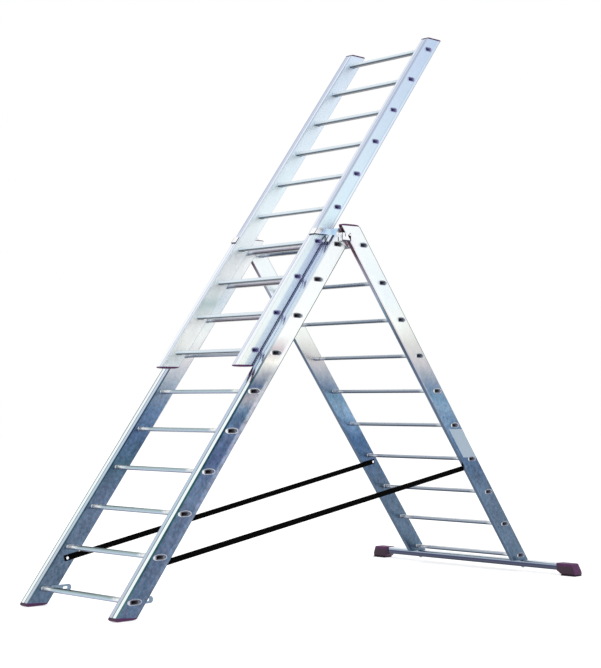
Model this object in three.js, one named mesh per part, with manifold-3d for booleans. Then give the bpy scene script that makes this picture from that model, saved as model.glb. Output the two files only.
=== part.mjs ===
// Combination extension ladder, standing as an A-frame with its extension raised.
// Millimetres, +Z up, X across the rungs, -Y the climbing side, +Y the rear support.
// Each ladder section is a group in its own frame: x across, y up the stiles from
// the centre of rung 1, z out of the section's face.
import * as THREE from 'three';
import { mergeVertices } from 'three/addons/utils/BufferGeometryUtils.js';
import Module from 'manifold-3d';

const wasm = await Module();
wasm.setup();

// ---------------------------------------------------------------- dimensions
const deg = THREE.MathUtils.degToRad;
const FIT = 0.3;                 // gap between pieces that touch
const WALL = 2.2;                // stile wall
const PLATE = 2.2;               // pressed sheet of the hinge and guide fittings

const RUNG_PITCH = 250;          // rung spacing along the stiles
const RUNG_COUNT = 10;
const FRONT_LEAN = deg(52.6);    // stiles from the floor
const REAR_LEAN = deg(52.2);
const FRONT_RUNG_HEIGHT = 86;    // rung 1 centre above the floor
const REAR_RUNG_HEIGHT = 100;

// rungs: level-tread tubes, flared over the outer stile faces, beaded inside them
const RUNG = { depth: 44, height: 21, wall: 2, corner: 7, holeCorner: 3 };
const RIM = { proud: 2.2, lip: 0.9 };
const BEAD = { length: 4, swell: 3 };
const FRONT_RIM = { depth: 90, height: 38 };
const EXTENSION_RIM = { depth: 62, height: 34 };
const REAR_RIM = { depth: 74, height: 36 };
// how far a level rung reaches out of a front section's rung plane
const RUNG_REACH = (RUNG.depth * Math.sin(FRONT_LEAN) + RUNG.height * Math.cos(FRONT_LEAN)) / 2;

// stile sections: x from inner to outer face, z from back to front face
const NESTING_GAP = 6;           // between the extension's and the front's stiles
const REAR_GAP = RIM.proud + 0.8; // the rear stiles swing past the front rungs' rims
const FRONT = { inner: 335, outer: 394, back: -60, front: 44, grooved: true };
const EXTENSION_WIDTH = 46;
const EXTENSION_DEPTH = 96;
const EXTENSION = {
  inner: FRONT.inner - NESTING_GAP - EXTENSION_WIDTH,
  outer: FRONT.inner - NESTING_GAP,
  back: -EXTENSION_DEPTH / 2,
  front: EXTENSION_DEPTH / 2,
  grooved: true,
};
const REAR_WIDTH = 25;
const REAR = { inner: FRONT.outer + REAR_GAP, outer: FRONT.outer + REAR_GAP + REAR_WIDTH, back: -40, front: 74 };
const GROOVE = { width: 3, depth: 1.2, across: 0.457 };  // across the face from its inner edge

// the extension slides in front of the front rungs
const RUNG_CLEARANCE = 3.8;
const EXTENSION_OFFSET = RUNG_REACH + RUNG_CLEARANCE + EXTENSION_DEPTH / 2;
const RAISED = 5.84 * RUNG_PITCH;

// hinge pin: beyond the top rung along the stiles, behind the front rungs' plane
// and in front of the rear rungs' plane
const PIVOT = { beyond: 77, behind: 48.6, ahead: 52.1 };
const PIVOT_Y = (RUNG_COUNT - 1) * RUNG_PITCH + PIVOT.beyond;
const PIVOT_Z = -PIVOT.behind;
const PIVOT_FROM_FRONT = PIVOT_Y * Math.cos(FRONT_LEAN) - PIVOT_Z * Math.sin(FRONT_LEAN);
const PIVOT_HEIGHT = FRONT_RUNG_HEIGHT + PIVOT_Y * Math.sin(FRONT_LEAN) + PIVOT_Z * Math.cos(FRONT_LEAN);
const REAR_PIVOT_Y = (PIVOT_HEIGHT - REAR_RUNG_HEIGHT + PIVOT.ahead * Math.cos(REAR_LEAN)) / Math.sin(REAR_LEAN);
// front rung 1 to rear rung 1 along the floor, with both sections hung on the pin
const BASE_SPAN = PIVOT_FROM_FRONT + REAR_PIVOT_Y * Math.cos(REAR_LEAN) + PIVOT.ahead * Math.sin(REAR_LEAN);

// plastic end caps: lenses, thickest halfway across the web, with a short level sole
const CAP = { overhang: 1.2, spigot: 24, spigotGap: 0.4, flange: 1.8, power: 2.4, sole: 1.04 };
const FOOT_THICKNESS = 22;       // along the stile
const TOP_THICKNESS = 14;
const REAR_CAP_OVERHANG = -0.4;  // clears the hinge plate beside it
const TOP_CAP_FLUSH = { thickness: 8, overhang: -0.8 };  // inside the hinge fittings

// stabiliser under the rear section, in the floor's frame
const BAR = { depth: 60, height: 41, bottom: 29, corner: 9, wall: 2.4, halfLength: 772, behind: 50 };
const BOOT = { over: 98, beyond: 32, grow: 5, flare: 6 };
const BOLT = { radius: 5, into: 22, y: 40, head: 10, headThickness: 7 };

// stile ends, along y at z = 0, and how much each end leans with z
const LEVEL_FRONT = 1 / Math.tan(FRONT_LEAN);
const LEVEL_REAR = 1 / Math.tan(REAR_LEAN);
const FRONT_FLOOR = -FRONT_RUNG_HEIGHT / Math.sin(FRONT_LEAN);   // the floor at z = 0
const FOOT_TILT = 0.109;         // the cut drops towards the back by this much of z
const FRONT_ENDS = {
  bottom: FRONT_FLOOR + FOOT_THICKNESS,
  top: PIVOT_Y + 25, bottomLean: LEVEL_FRONT - FOOT_TILT, topLean: LEVEL_FRONT,
};
const EXTENSION_ENDS = {
  bottom: -96, top: (RUNG_COUNT - 1) * RUNG_PITCH + 82, bottomLean: LEVEL_FRONT, topLean: LEVEL_FRONT,
};
const REAR_ENDS = {
  bottom: (BAR.bottom + BAR.height + FIT - REAR_RUNG_HEIGHT) / Math.sin(REAR_LEAN),
  top: REAR_PIVOT_Y + 49, bottomLean: -LEVEL_REAR, topLean: -0.74,
};

// hinge pins, plates and guide claws
const PIN = { radius: 8, inside: 4, head: 15, headThickness: 5 };
const GUIDE = { bottom: PIVOT_Y - 89, top: PIVOT_Y - 2, lip: 50, clearance: 1.4 };
const CLAW = { low: 18, high: 55 };      // level edges of the claw, from the pin's height
const BUFFER = { low: -22, high: 16, proud: 14, gap: 6 };  // two level blocks on the face
// the claw closes over the extension's face
const GUIDE_REACH = EXTENSION_OFFSET + EXTENSION.front + FIT + PLATE;
const GUIDE_PLATE = { bottom: PIVOT_Y - 43, top: PIVOT_Y + 23, behind: 20 };
const HINGE_PLATE = { below: 63, above: 37, edge: 3, boss: 24 };
// level channel in front of the rear stile, from the pin: reach forward, low and high edges
const CHANNEL = { ahead: 79, low: -25, high: 30 };
const RIVET = { radius: 6, proud: 2.5 };

// webbing straps that stop the legs from spreading, with a rivet near each end
const STRAP = { width: 24, thickness: 2, frontInset: 4.6, rearInset: 2.4 };
const STRAP_FRONT = { y: 185, z: -8 };   // in the front section's frame
const STRAP_REAR = { y: 692, z: -12 };   // in the rear section's frame
const STRAP_RIVET = { radius: 5, head: 8, headThickness: 2, inset: 14 };

// catches on the inner webs that hold the rear section when it is folded: level
// plates with an eye, measured back and up from rung 1
const CATCH = { start: 36, end: 160, low: -22, high: 12, thickness: 3, eye: [122, -5, 15, 7], stud: [58, -5, 11] };

// ---------------------------------------------------------------- materials
const metal = (color, roughness) => new THREE.MeshStandardMaterial({ color, roughness, metalness: 1 });
const plastic = (color, roughness) => new THREE.MeshStandardMaterial({ color, roughness, metalness: 0 });
const ALUMINIUM = metal(0xccd3dc, 0.25);
const RUNG_ALUMINIUM = metal(0xc3cad3, 0.35);
const STEEL = metal(0xb9bec6, 0.2);
const PURPLE = plastic(0x6b2a5e, 0.5);
const WEBBING = plastic(0x0c0c0e, 0.85);

// ---------------------------------------------------------------- helpers
/** Rounded rectangle, `per` points to a corner, as [a, b] pairs about the origin. */
function roundedRectangle(a, b, radius, per = 3) {
  const points = [];
  const r = Math.min(radius, a / 2, b / 2);
  for (let corner = 0; corner < 4; corner++) {
    const cx = (corner === 0 || corner === 3 ? 1 : -1) * (a / 2 - r);
    const cy = (corner < 2 ? 1 : -1) * (b / 2 - r);
    for (let i = 0; i < per; i++) {
      const t = (corner + i / (per - 1)) * Math.PI / 2;
      points.push([cx + r * Math.cos(t), cy + r * Math.sin(t)]);
    }
  }
  return points;
}

/** Oval with as many points as the rung's section, so that loops can be joined. */
function oval(a, b) {
  return roundedRectangle(a, b, Math.min(a, b) / 2).map(([p, q]) => {
    const t = Math.atan2(q / b, p / a);
    return [a / 2 * Math.cos(t), b / 2 * Math.sin(t)];
  });
}

/** Skin through loops of Vector3; ends are closed unless the loops form a ring. */
function loft(loops, ring = false) {
  const n = loops[0].length;
  const positions = [];
  for (const loop of loops) for (const p of loop) positions.push(p.x, p.y, p.z);
  const index = [];
  const spans = ring ? loops.length : loops.length - 1;
  for (let s = 0; s < spans; s++) {
    const a = s * n;
    const b = ((s + 1) % loops.length) * n;
    for (let i = 0; i < n; i++) {
      const j = (i + 1) % n;
      index.push(a + i, a + j, b + j, a + i, b + j, b + i);
    }
  }
  if (!ring) {
    const last = (loops.length - 1) * n;
    for (let i = 1; i < n - 1; i++) {
      index.push(0, i + 1, i);
      index.push(last, last + i, last + i + 1);
    }
  }
  const geometry = new THREE.BufferGeometry();
  geometry.setAttribute('position', new THREE.Float32BufferAttribute(positions, 3));
  geometry.setIndex(index);
  return outward(geometry);
}

/** Turns the triangles over when the skin encloses a negative volume. */
function outward(geometry) {
  const p = geometry.attributes.position;
  const index = geometry.index;
  const [a, b, c] = [new THREE.Vector3(), new THREE.Vector3(), new THREE.Vector3()];
  let volume = 0;
  for (let i = 0; i < index.count; i += 3) {
    a.fromBufferAttribute(p, index.getX(i));
    b.fromBufferAttribute(p, index.getX(i + 1));
    c.fromBufferAttribute(p, index.getX(i + 2));
    volume += a.dot(b.cross(c));
  }
  if (volume < 0) {
    for (let i = 0; i < index.count; i += 3) {
      const keep = index.getX(i + 1);
      index.setX(i + 1, index.getX(i + 2));
      index.setX(i + 2, keep);
    }
  }
  return geometry;
}

/** Closed geometry as a manifold solid. */
function solid(geometry) {
  let g = geometry.clone();
  g.deleteAttribute('normal');
  g.deleteAttribute('uv');
  g = mergeVertices(g, 1e-4);
  return new wasm.Manifold(new wasm.Mesh({
    numProp: 3,
    vertProperties: Float32Array.from(g.attributes.position.array),
    triVerts: Uint32Array.from(g.index.array),
  }));
}

/** Manifold solid back to a geometry with flat facets and shaded curves. */
function toGeometry(body) {
  const mesh = body.getMesh();
  const geometry = new THREE.BufferGeometry();
  geometry.setAttribute('position', new THREE.Float32BufferAttribute(mesh.vertProperties, 3));
  geometry.setIndex(Array.from(mesh.triVerts));
  geometry.computeVertexNormals();
  return geometry;
}

/** Box from its low and high corners, as a solid. */
function block(x0, x1, y0, y1, z0, z1) {
  return solid(new THREE.BoxGeometry(x1 - x0, y1 - y0, z1 - z0)
    .translate((x0 + x1) / 2, (y0 + y1) / 2, (z0 + z1) / 2));
}

/** Cylinder along x, as a solid. */
function rod(x0, x1, y, z, radius, segments = 16) {
  return solid(new THREE.CylinderGeometry(radius, radius, x1 - x0, segments)
    .rotateZ(Math.PI / 2).translate((x0 + x1) / 2, y, z));
}

/** Named mesh in a section; `side` -1 mirrors it to the left stile. */
function addMesh(group, name, geometry, material, side = 1) {
  let g = geometry;
  if (side < 0) g = outward(geometry.clone().scale(-1, 1, 1));
  g.computeVertexNormals();
  const mesh = new THREE.Mesh(g, material);
  mesh.name = name;
  group.add(mesh);
  return mesh;
}

const SIDES = [['left', -1], ['right', 1]];

/** Section frame, with rung 1 at (0, y, z) and the stiles leaning by `turn` about x. */
function sectionFrame(name, y, z, turn) {
  const frame = new THREE.Group();
  frame.name = name;
  frame.position.set(0, y, z);
  frame.rotation.x = turn;
  return frame;
}

/** Loop of a level section at x, turned into the leaning section's frame. */
function levelLoop(points, x, y, turn) {
  const [c, s] = [Math.cos(turn), Math.sin(turn)];
  return points.map(([h, v]) => new THREE.Vector3(x, y + h * c + v * s, -h * s + v * c));
}

// ---------------------------------------------------------------- stiles and rungs
/** Box stile with its face groove, cut ends and a level hole for each rung. */
function stile(section, ends, turn, extraHoles = []) {
  const { inner, outer, back, front, grooved } = section;
  const shape = new THREE.Shape();
  shape.moveTo(inner, back);
  shape.lineTo(outer, back);
  shape.lineTo(outer, front);
  if (grooved) {
    const groove = inner + GROOVE.across * (outer - inner);
    shape.lineTo(groove + GROOVE.width / 2, front);
    shape.lineTo(groove, front - GROOVE.depth);
    shape.lineTo(groove - GROOVE.width / 2, front);
  }
  shape.lineTo(inner, front);
  shape.closePath();
  const hollow = new THREE.Path();
  hollow.moveTo(inner + WALL, back + WALL);
  hollow.lineTo(inner + WALL, front - WALL);
  hollow.lineTo(outer - WALL, front - WALL);
  hollow.lineTo(outer - WALL, back + WALL);
  hollow.closePath();
  shape.holes.push(hollow);
  const g = new THREE.ExtrudeGeometry(shape, { depth: 1, bevelEnabled: false });
  // the section (x, z) was drawn as (x, y) and extruded: lay it along the stile
  const p = g.attributes.position;
  for (let i = 0; i < p.count; i++) {
    const [x, z, end] = [p.getX(i), p.getY(i), p.getZ(i)];
    const y = end > 0.5 ? ends.top - z * ends.topLean : ends.bottom - z * ends.bottomLean;
    p.setXYZ(i, x, y, z);
  }
  let g2 = g.clone();
  g2.deleteAttribute('normal');
  g2.deleteAttribute('uv');
  g2 = outward(mergeVertices(g2, 1e-4));
  let body = solid(g2);
  const hole = roundedRectangle(RUNG.depth + 2 * FIT, RUNG.height + 2 * FIT, RUNG.holeCorner, 2);
  for (let i = 0; i < RUNG_COUNT; i++) {
    const y = i * RUNG_PITCH;
    body = body.subtract(solid(loft([
      levelLoop(hole, inner - 5, y, turn), levelLoop(hole, outer + 5, y, turn),
    ])));
  }
  for (const cut of extraHoles) body = body.subtract(cut);
  return toGeometry(body);
}

/** Rung: open tube with flared rims outside and swaged beads inside the stiles. */
function rung(section, rim, y, turn) {
  const { depth, height, wall, corner } = RUNG;
  const tube = roundedRectangle(depth, height, corner);
  const bore = roundedRectangle(depth - 2 * wall, height - 2 * wall, corner - wall);
  const bead = roundedRectangle(depth + 2 * BEAD.swell, height + 2 * BEAD.swell, corner + BEAD.swell);
  const root = section.outer + FIT;
  const right = [
    [bead, section.inner - FIT - BEAD.length],
    [bead, section.inner - FIT],
    [tube, section.inner - FIT],
    [tube, root],
    [oval(rim.depth, rim.height), root],
    [oval(rim.depth - 2, rim.height - 2), root + RIM.lip],
    [oval(depth + 6, height + 6), root + RIM.proud],
    [bore, root + RIM.proud - 0.6],
  ];
  const tubeStart = [tube, section.inner - FIT - BEAD.length - 3];
  const outside = [tubeStart, ...right];
  const loops = [
    ...outside.map(([points, x]) => levelLoop(points, x, y, turn)),
    ...outside.slice().reverse().map(([points, x]) => levelLoop(points, -x, y, turn)),
  ];
  return loft(loops, true);
}

/**
 * Plug and moulded lens for a stile's end; `way` 1 for the top, -1 for the bottom.
 * `tilt` makes the lens thicker towards the front, so that a foot's sole lies level.
 */
function endCap(section, at, lean, way, thickness, overhang = CAP.overhang, tilt = 0) {
  const { inner, outer, back, front } = section;
  const [cx, cz] = [(inner + outer) / 2, (back + front) / 2];
  const half = (front - back) / 2 + overhang;
  const ring = (grow, share, height, radius) => roundedRectangle(
    outer - inner + 2 * grow, front - back + 2 * grow, radius,
  ).map(([a, b]) => {
    const [x, z] = [cx + a * share, cz + b * share];
    return new THREE.Vector3(x, at - z * lean + way * height(z), z);
  });
  const flat = (height) => () => height;
  const dome = (fill) => (z) => {
    const across = Math.min(Math.abs(z - cz) / half, 1);
    const lens = Math.min(CAP.sole * (1 - across ** CAP.power) ** (1 / CAP.power), 1);
    return CAP.flange + (thickness + z * tilt - CAP.flange) * lens * fill;
  };
  const inside = -WALL - CAP.spigotGap;
  return loft([
    ring(inside - 2, 1, flat(-CAP.spigot), 1), ring(inside, 1, flat(-CAP.spigot + 4), 1.5),
    ring(inside, 1, flat(FIT), 1.5), ring(overhang, 1, flat(FIT), 6), ring(overhang, 1, flat(CAP.flange), 6),
    ring(overhang, 0.97, dome(0.72), 6), ring(overhang, 0.92, dome(0.93), 6), ring(overhang, 0.82, dome(1), 6),
    ring(overhang, 0.62, dome(1), 6), ring(overhang, 0.36, dome(1), 6),
  ]);
}

// ---------------------------------------------------------------- sections
const frontTurn = FRONT_LEAN;
const rearTurn = Math.PI - REAR_LEAN;
const ladder = new THREE.Group();
ladder.name = 'extension_ladder';

const front = sectionFrame('front_section', 0, FRONT_RUNG_HEIGHT, frontTurn);
const rear = sectionFrame('rear_section', BASE_SPAN, REAR_RUNG_HEIGHT, rearTurn);
const extension = sectionFrame('extension_section',
  RAISED * Math.cos(frontTurn) - EXTENSION_OFFSET * Math.sin(frontTurn),
  FRONT_RUNG_HEIGHT + RAISED * Math.sin(frontTurn) + EXTENSION_OFFSET * Math.cos(frontTurn), frontTurn);

const frontPivot = { y: PIVOT_Y, z: PIVOT_Z };
const rearPivot = { y: REAR_PIVOT_Y, z: PIVOT.ahead };

/** Stiles and rungs of one section; a hinged one is bored for the pin. */
function addSection(group, prefix, section, ends, turn, rim, pivot) {
  const holes = pivot
    ? [rod(section.inner - 5, section.outer + 5, pivot.y, pivot.z, PIN.radius + FIT)] : [];
  const body = stile(section, ends, turn, holes);
  for (const [side, sign] of SIDES) addMesh(group, `${prefix}_stile_${side}`, body, ALUMINIUM, sign);
  for (let i = 0; i < RUNG_COUNT; i++) {
    const name = `${prefix}_rung_${String(i + 1).padStart(2, '0')}`;
    addMesh(group, name, rung(section, rim, i * RUNG_PITCH, turn), RUNG_ALUMINIUM);
  }
}
addSection(front, 'front', FRONT, FRONT_ENDS, frontTurn, FRONT_RIM, frontPivot);
addSection(extension, 'extension', EXTENSION, EXTENSION_ENDS, frontTurn, EXTENSION_RIM, null);
addSection(rear, 'rear', REAR, REAR_ENDS, rearTurn, REAR_RIM, rearPivot);

for (const [side, sign] of SIDES) {
  addMesh(front, `front_foot_${side}`,
    endCap(FRONT, FRONT_ENDS.bottom, FRONT_ENDS.bottomLean, -1, FOOT_THICKNESS, CAP.overhang, FOOT_TILT),
    PURPLE, sign);
  addMesh(front, `front_top_cap_${side}`,
    endCap(FRONT, FRONT_ENDS.top, FRONT_ENDS.topLean, 1, TOP_CAP_FLUSH.thickness, TOP_CAP_FLUSH.overhang),
    PURPLE, sign);
  addMesh(extension, `extension_foot_${side}`,
    endCap(EXTENSION, EXTENSION_ENDS.bottom, EXTENSION_ENDS.bottomLean, -1, TOP_THICKNESS), PURPLE, sign);
  addMesh(extension, `extension_top_cap_${side}`,
    endCap(EXTENSION, EXTENSION_ENDS.top, EXTENSION_ENDS.topLean, 1, TOP_THICKNESS), PURPLE, sign);
  addMesh(rear, `rear_top_cap_${side}`,
    endCap(REAR, REAR_ENDS.top, REAR_ENDS.topLean, 1, TOP_THICKNESS, REAR_CAP_OVERHANG), PURPLE, sign);
}

// ---------------------------------------------------------------- hinge and guide fittings
/**
 * Plate across x whose outline is level with the floor: `points` are [back, up]
 * from the pin, laid in a section whose pin is at `pin`.
 */
function levelPlate(points, x0, x1, pin, turn) {
  const [c, s] = [Math.cos(turn), Math.sin(turn)];
  const loop = (x) => points.map(([h, v]) => new THREE.Vector3(x, pin.y + h * c + v * s, pin.z - h * s + v * c));
  return solid(loft([loop(x0), loop(x1)]));
}

/** How far back of the pin a point of the front section's face lies, at a height over the pin. */
const backAt = (z, up) => (up * Math.cos(FRONT_LEAN) - (z - PIVOT_Z)) / Math.sin(FRONT_LEAN);

/** Pressed bracket on the front stile: hinge plate, face plate, buffers and the guide claw. */
function guideBracket() {
  const faceZ = FRONT.front + FIT;
  const outX = FRONT.outer + FIT;
  const webX = EXTENSION.outer + RIM.proud + GUIDE.clearance;
  const level = (low, high, z0, z1, x0, x1) => levelPlate([
    [backAt(z0, low), low], [backAt(z0, high), high], [backAt(z1, high), high], [backAt(z1, low), low],
  ], x0, x1, frontPivot, frontTurn);
  let body = block(outX, outX + PLATE, GUIDE_PLATE.bottom, GUIDE_PLATE.top, PIVOT_Z - GUIDE_PLATE.behind, faceZ + PLATE)
    .subtract(rod(outX - 1, outX + PLATE + 1, PIVOT_Y, PIVOT_Z, PIN.radius + FIT));
  body = body.add(block(webX, outX + PLATE, GUIDE.bottom, GUIDE.top, faceZ, faceZ + PLATE));
  const claw = [CLAW.low, CLAW.high];
  body = body.add(level(...claw, faceZ, GUIDE_REACH, webX, webX + PLATE))
    .add(level(...claw, GUIDE_REACH - PLATE, GUIDE_REACH, webX + PLATE - GUIDE.lip, webX + PLATE));
  // two buffers on the face, as wide as it leaves them
  const [from, to] = [webX + 5, FRONT.outer - 2];
  const width = (to - from - BUFFER.gap) / 2;
  for (const x of [from, to - width]) {
    body = body.add(level(BUFFER.low, BUFFER.high, faceZ, faceZ + BUFFER.proud, x, x + width));
  }
  return toGeometry(body);
}

/** Plate and level channel on the rear stile, around the pin, with two rivet heads. */
function hingePlate() {
  const x = REAR.outer + FIT;
  const { y, z } = rearPivot;
  const [low, high] = [y - HINGE_PLATE.below, y + HINGE_PLATE.above];
  const { ahead, low: bottom, high: top } = CHANNEL;
  let body = block(x, x + PLATE, low, high, z - PIN.radius, REAR.front - HINGE_PLATE.edge)
    .add(rod(x, x + PLATE, y, z, HINGE_PLATE.boss, 20))
    .add(levelPlate([[-ahead, bottom], [-ahead, top], [-12, top], [0, 0], [-6, bottom]], x, x + PLATE, rearPivot, rearTurn))
    .add(levelPlate([[-ahead, bottom], [-ahead, top], [PLATE - ahead, top], [PLATE - ahead, bottom]],
      REAR.inner + FIT, x + PLATE, rearPivot, rearTurn))
    .subtract(rod(x - 1, x + PLATE + 1, y, z, PIN.radius + FIT));
  for (const at of [low + 2 * RIVET.radius, high - 2 * RIVET.radius]) {
    body = body.add(rod(x, x + PLATE + RIVET.proud, at, REAR.front - 14, RIVET.radius, 12));
  }
  return toGeometry(body);
}

/** Pin through both stiles: shank and domed outer head, lathed about x. */
function hingePin() {
  const start = FRONT.inner - PIN.inside;
  const headX = REAR.outer + FIT + PLATE + FIT;
  const profile = [
    [0, start], [PIN.radius - 1, start], [PIN.radius, start + 1], [PIN.radius, headX],
    [PIN.head, headX], [PIN.head, headX + PIN.headThickness * 0.5],
    [PIN.head * 0.7, headX + PIN.headThickness], [0, headX + PIN.headThickness],
  ].map(([r, x]) => new THREE.Vector2(r, x));
  return outward(mergeVertices(stripped(new THREE.LatheGeometry(profile, 20)), 1e-4))
    .rotateZ(-Math.PI / 2).translate(0, PIVOT_Y, PIVOT_Z);
}

function stripped(geometry) {
  geometry.deleteAttribute('normal');
  geometry.deleteAttribute('uv');
  return geometry;
}

/** Level plate with an eye, riveted to the inner web beside rung 1. */
function foldCatch() {
  const { start, end, low, high, thickness, eye, stud } = CATCH;
  const x1 = FRONT.inner - FIT;
  const x0 = x1 - thickness;
  const rung1 = { y: 0, z: 0 };
  const middle = (low + high) / 2;
  const radius = (high - low) / 2;
  const outline = [[start, low], [start, high]];
  for (let i = 0; i <= 10; i++) {
    const t = Math.PI / 2 - i * Math.PI / 10;
    outline.push([end - radius + radius * Math.cos(t), middle + radius * Math.sin(t)]);
  }
  const [back, up, half, tall] = eye;
  const hole = roundedRectangle(2 * half, 2 * tall, tall, 5).map(([a, b]) => [back + a, up + b]);
  const [c, s] = [Math.cos(frontTurn), Math.sin(frontTurn)];
  const at = { y: stud[0] * c + stud[1] * s, z: -stud[0] * s + stud[1] * c };
  return toGeometry(levelPlate(outline, x0, x1, rung1, frontTurn)
    .subtract(levelPlate(hole, x0 - 1, x1 + 1, rung1, frontTurn))
    .add(rod(x0 - 3, x0 + 1, at.y, at.z, stud[2], 16)));
}

for (const [side, sign] of SIDES) {
  addMesh(front, `guide_bracket_${side}`, guideBracket(), STEEL, sign);
  addMesh(front, `hinge_pin_${side}`, hingePin(), STEEL, sign);
  addMesh(front, `fold_catch_${side}`, foldCatch(), STEEL, sign);
  addMesh(rear, `hinge_plate_${side}`, hingePlate(), STEEL, sign);
}

// ---------------------------------------------------------------- stabiliser
const base = new THREE.Group();
base.name = 'stabiliser';
base.position.set(0, BASE_SPAN, 0);

/** Rounded tube across the rear, with a bolt up into each stile. */
function stabiliserBar() {
  const { depth, height, bottom, corner, wall, halfLength, behind } = BAR;
  const z = bottom + height / 2;
  const loop = (points, x) => points.map(([h, v]) => new THREE.Vector3(x, behind + h, z + v));
  const skin = roundedRectangle(depth, height, corner, 5);
  const bore = roundedRectangle(depth - 2 * wall, height - 2 * wall, corner - wall, 5);
  let body = solid(loft([
    loop(skin, -halfLength), loop(skin, halfLength), loop(bore, halfLength), loop(bore, -halfLength),
  ], true));
  const boltX = (REAR.inner + REAR.outer) / 2;
  for (const sign of [-1, 1]) {
    const boltTop = bottom + height + BOLT.into;
    const shank = new THREE.CylinderGeometry(BOLT.radius, BOLT.radius, boltTop - bottom + 1, 14)
      .rotateX(Math.PI / 2).translate(sign * boltX, BOLT.y, (boltTop + bottom - 1) / 2);
    const head = new THREE.CylinderGeometry(BOLT.head, BOLT.head, BOLT.headThickness, 6)
      .rotateX(Math.PI / 2).translate(sign * boltX, BOLT.y, bottom - BOLT.headThickness / 2 + 0.5);
    body = body.add(solid(shank)).add(solid(head));
  }
  return toGeometry(body);
}

/** Moulded boot over one end of the bar, its outer end sloping out to the sole. */
function stabiliserFoot() {
  const { depth, height, bottom, corner, halfLength, behind } = BAR;
  const { grow, flare } = BOOT;
  const [start, end] = [halfLength - BOOT.over, halfLength + BOOT.beyond];
  const top = bottom + height + grow;
  const ring = (x, low, high, wide, radius) => roundedRectangle(wide, high - low, radius, 5)
    .map(([h, v]) => new THREE.Vector3(x, behind + h, (low + high) / 2 + v));
  const outside = solid(loft([
    ring(start, bottom - grow, top, depth + 2 * grow - 2, corner), ring(start + 3, bottom - grow - 1, top, depth + 2 * grow, corner),
    ring(start + 16, bottom - grow - 3, top, depth + 2 * grow, corner), ring(start + 34, 0, top, depth + 2 * grow + flare, corner),
    ring(end - 34, 0, top - 3, depth + 2 * grow + flare, corner), ring(end - 16, 0, top - 12, depth + 2 * grow + flare - 2, corner),
    ring(end - 3, 1, top - 30, depth + 2 * grow, corner), ring(end, 4, top - 36, depth + 2 * grow - 6, corner),
  ]));
  const z = bottom + height / 2;
  const socketLoop = roundedRectangle(depth + 2 * FIT, height + 2 * FIT, corner + FIT, 5);
  const socket = solid(loft([start - 5, halfLength + FIT].map((x) => socketLoop
    .map(([h, v]) => new THREE.Vector3(x, behind + h, z + v)))));
  return toGeometry(outside.subtract(socket));
}

addMesh(base, 'stabiliser_bar', stabiliserBar(), ALUMINIUM);
for (const [side, sign] of SIDES) addMesh(base, `stabiliser_foot_${side}`, stabiliserFoot(), PURPLE, sign);

// ---------------------------------------------------------------- straps
/** Flat webbing between the inner faces of a front and a rear stile, pulled straight. */
function strap() {
  front.updateMatrix();
  rear.updateMatrix();
  const a = new THREE.Vector3(FRONT.inner - STRAP.frontInset, STRAP_FRONT.y, STRAP_FRONT.z).applyMatrix4(front.matrix);
  const b = new THREE.Vector3(REAR.inner - STRAP.rearInset, STRAP_REAR.y, STRAP_REAR.z).applyMatrix4(rear.matrix);
  const across = new THREE.Vector3(0, -(b.z - a.z), b.y - a.y).normalize().multiplyScalar(STRAP.width / 2);
  const thick = new THREE.Vector3(STRAP.thickness / 2, 0, 0);
  const corners = (p) => [[1, 1], [1, -1], [-1, -1], [-1, 1]].map(([u, v]) => p.clone()
    .addScaledVector(thick, u).addScaledVector(across, v));
  let body = solid(loft([corners(a), corners(b)]));
  // a rivet near each end holds the webbing against the stile
  const along = b.clone().sub(a).normalize().multiplyScalar(STRAP_RIVET.inset);
  const [nearFront, nearRear] = [a.clone().add(along), b.clone().sub(along)];
  for (const [at, faceX] of [[nearFront, FRONT.inner], [nearRear, REAR.inner]]) {
    const skin = at.x - STRAP.thickness / 2;
    body = body
      .add(rod(skin, faceX - FIT, at.y, at.z, STRAP_RIVET.radius, 12))
      .add(rod(skin - STRAP_RIVET.headThickness, skin + 0.5, at.y, at.z, STRAP_RIVET.head, 12));
  }
  return toGeometry(body);
}
for (const [side, sign] of SIDES) addMesh(ladder, `strap_${side}`, strap(), WEBBING, sign);

// ---------------------------------------------------------------- assembly
ladder.add(front, extension, rear, base);
ladder.updateMatrixWorld(true);
const bounds = new THREE.Box3().setFromObject(ladder, true);
const group = new THREE.Group();
group.name = 'ladder';
ladder.position.y = -(bounds.min.y + bounds.max.y) / 2;
group.add(ladder);

export default group;
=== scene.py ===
"""Extension ladder: the fine surfaces, finishes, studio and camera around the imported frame.

The ladder has three sections. Each section has a frame of its own: x across the
rungs, y up the stiles from the centre of rung 1, and z out of the section's face.
Every size is in metres and is measured on the frame's own solids where it can be.
"""

import logging
import math
from dataclasses import dataclass
from enum import Enum
from typing import Any, Callable

import bmesh
import bpy
import numpy as np
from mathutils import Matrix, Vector
from numpy.typing import NDArray


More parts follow.
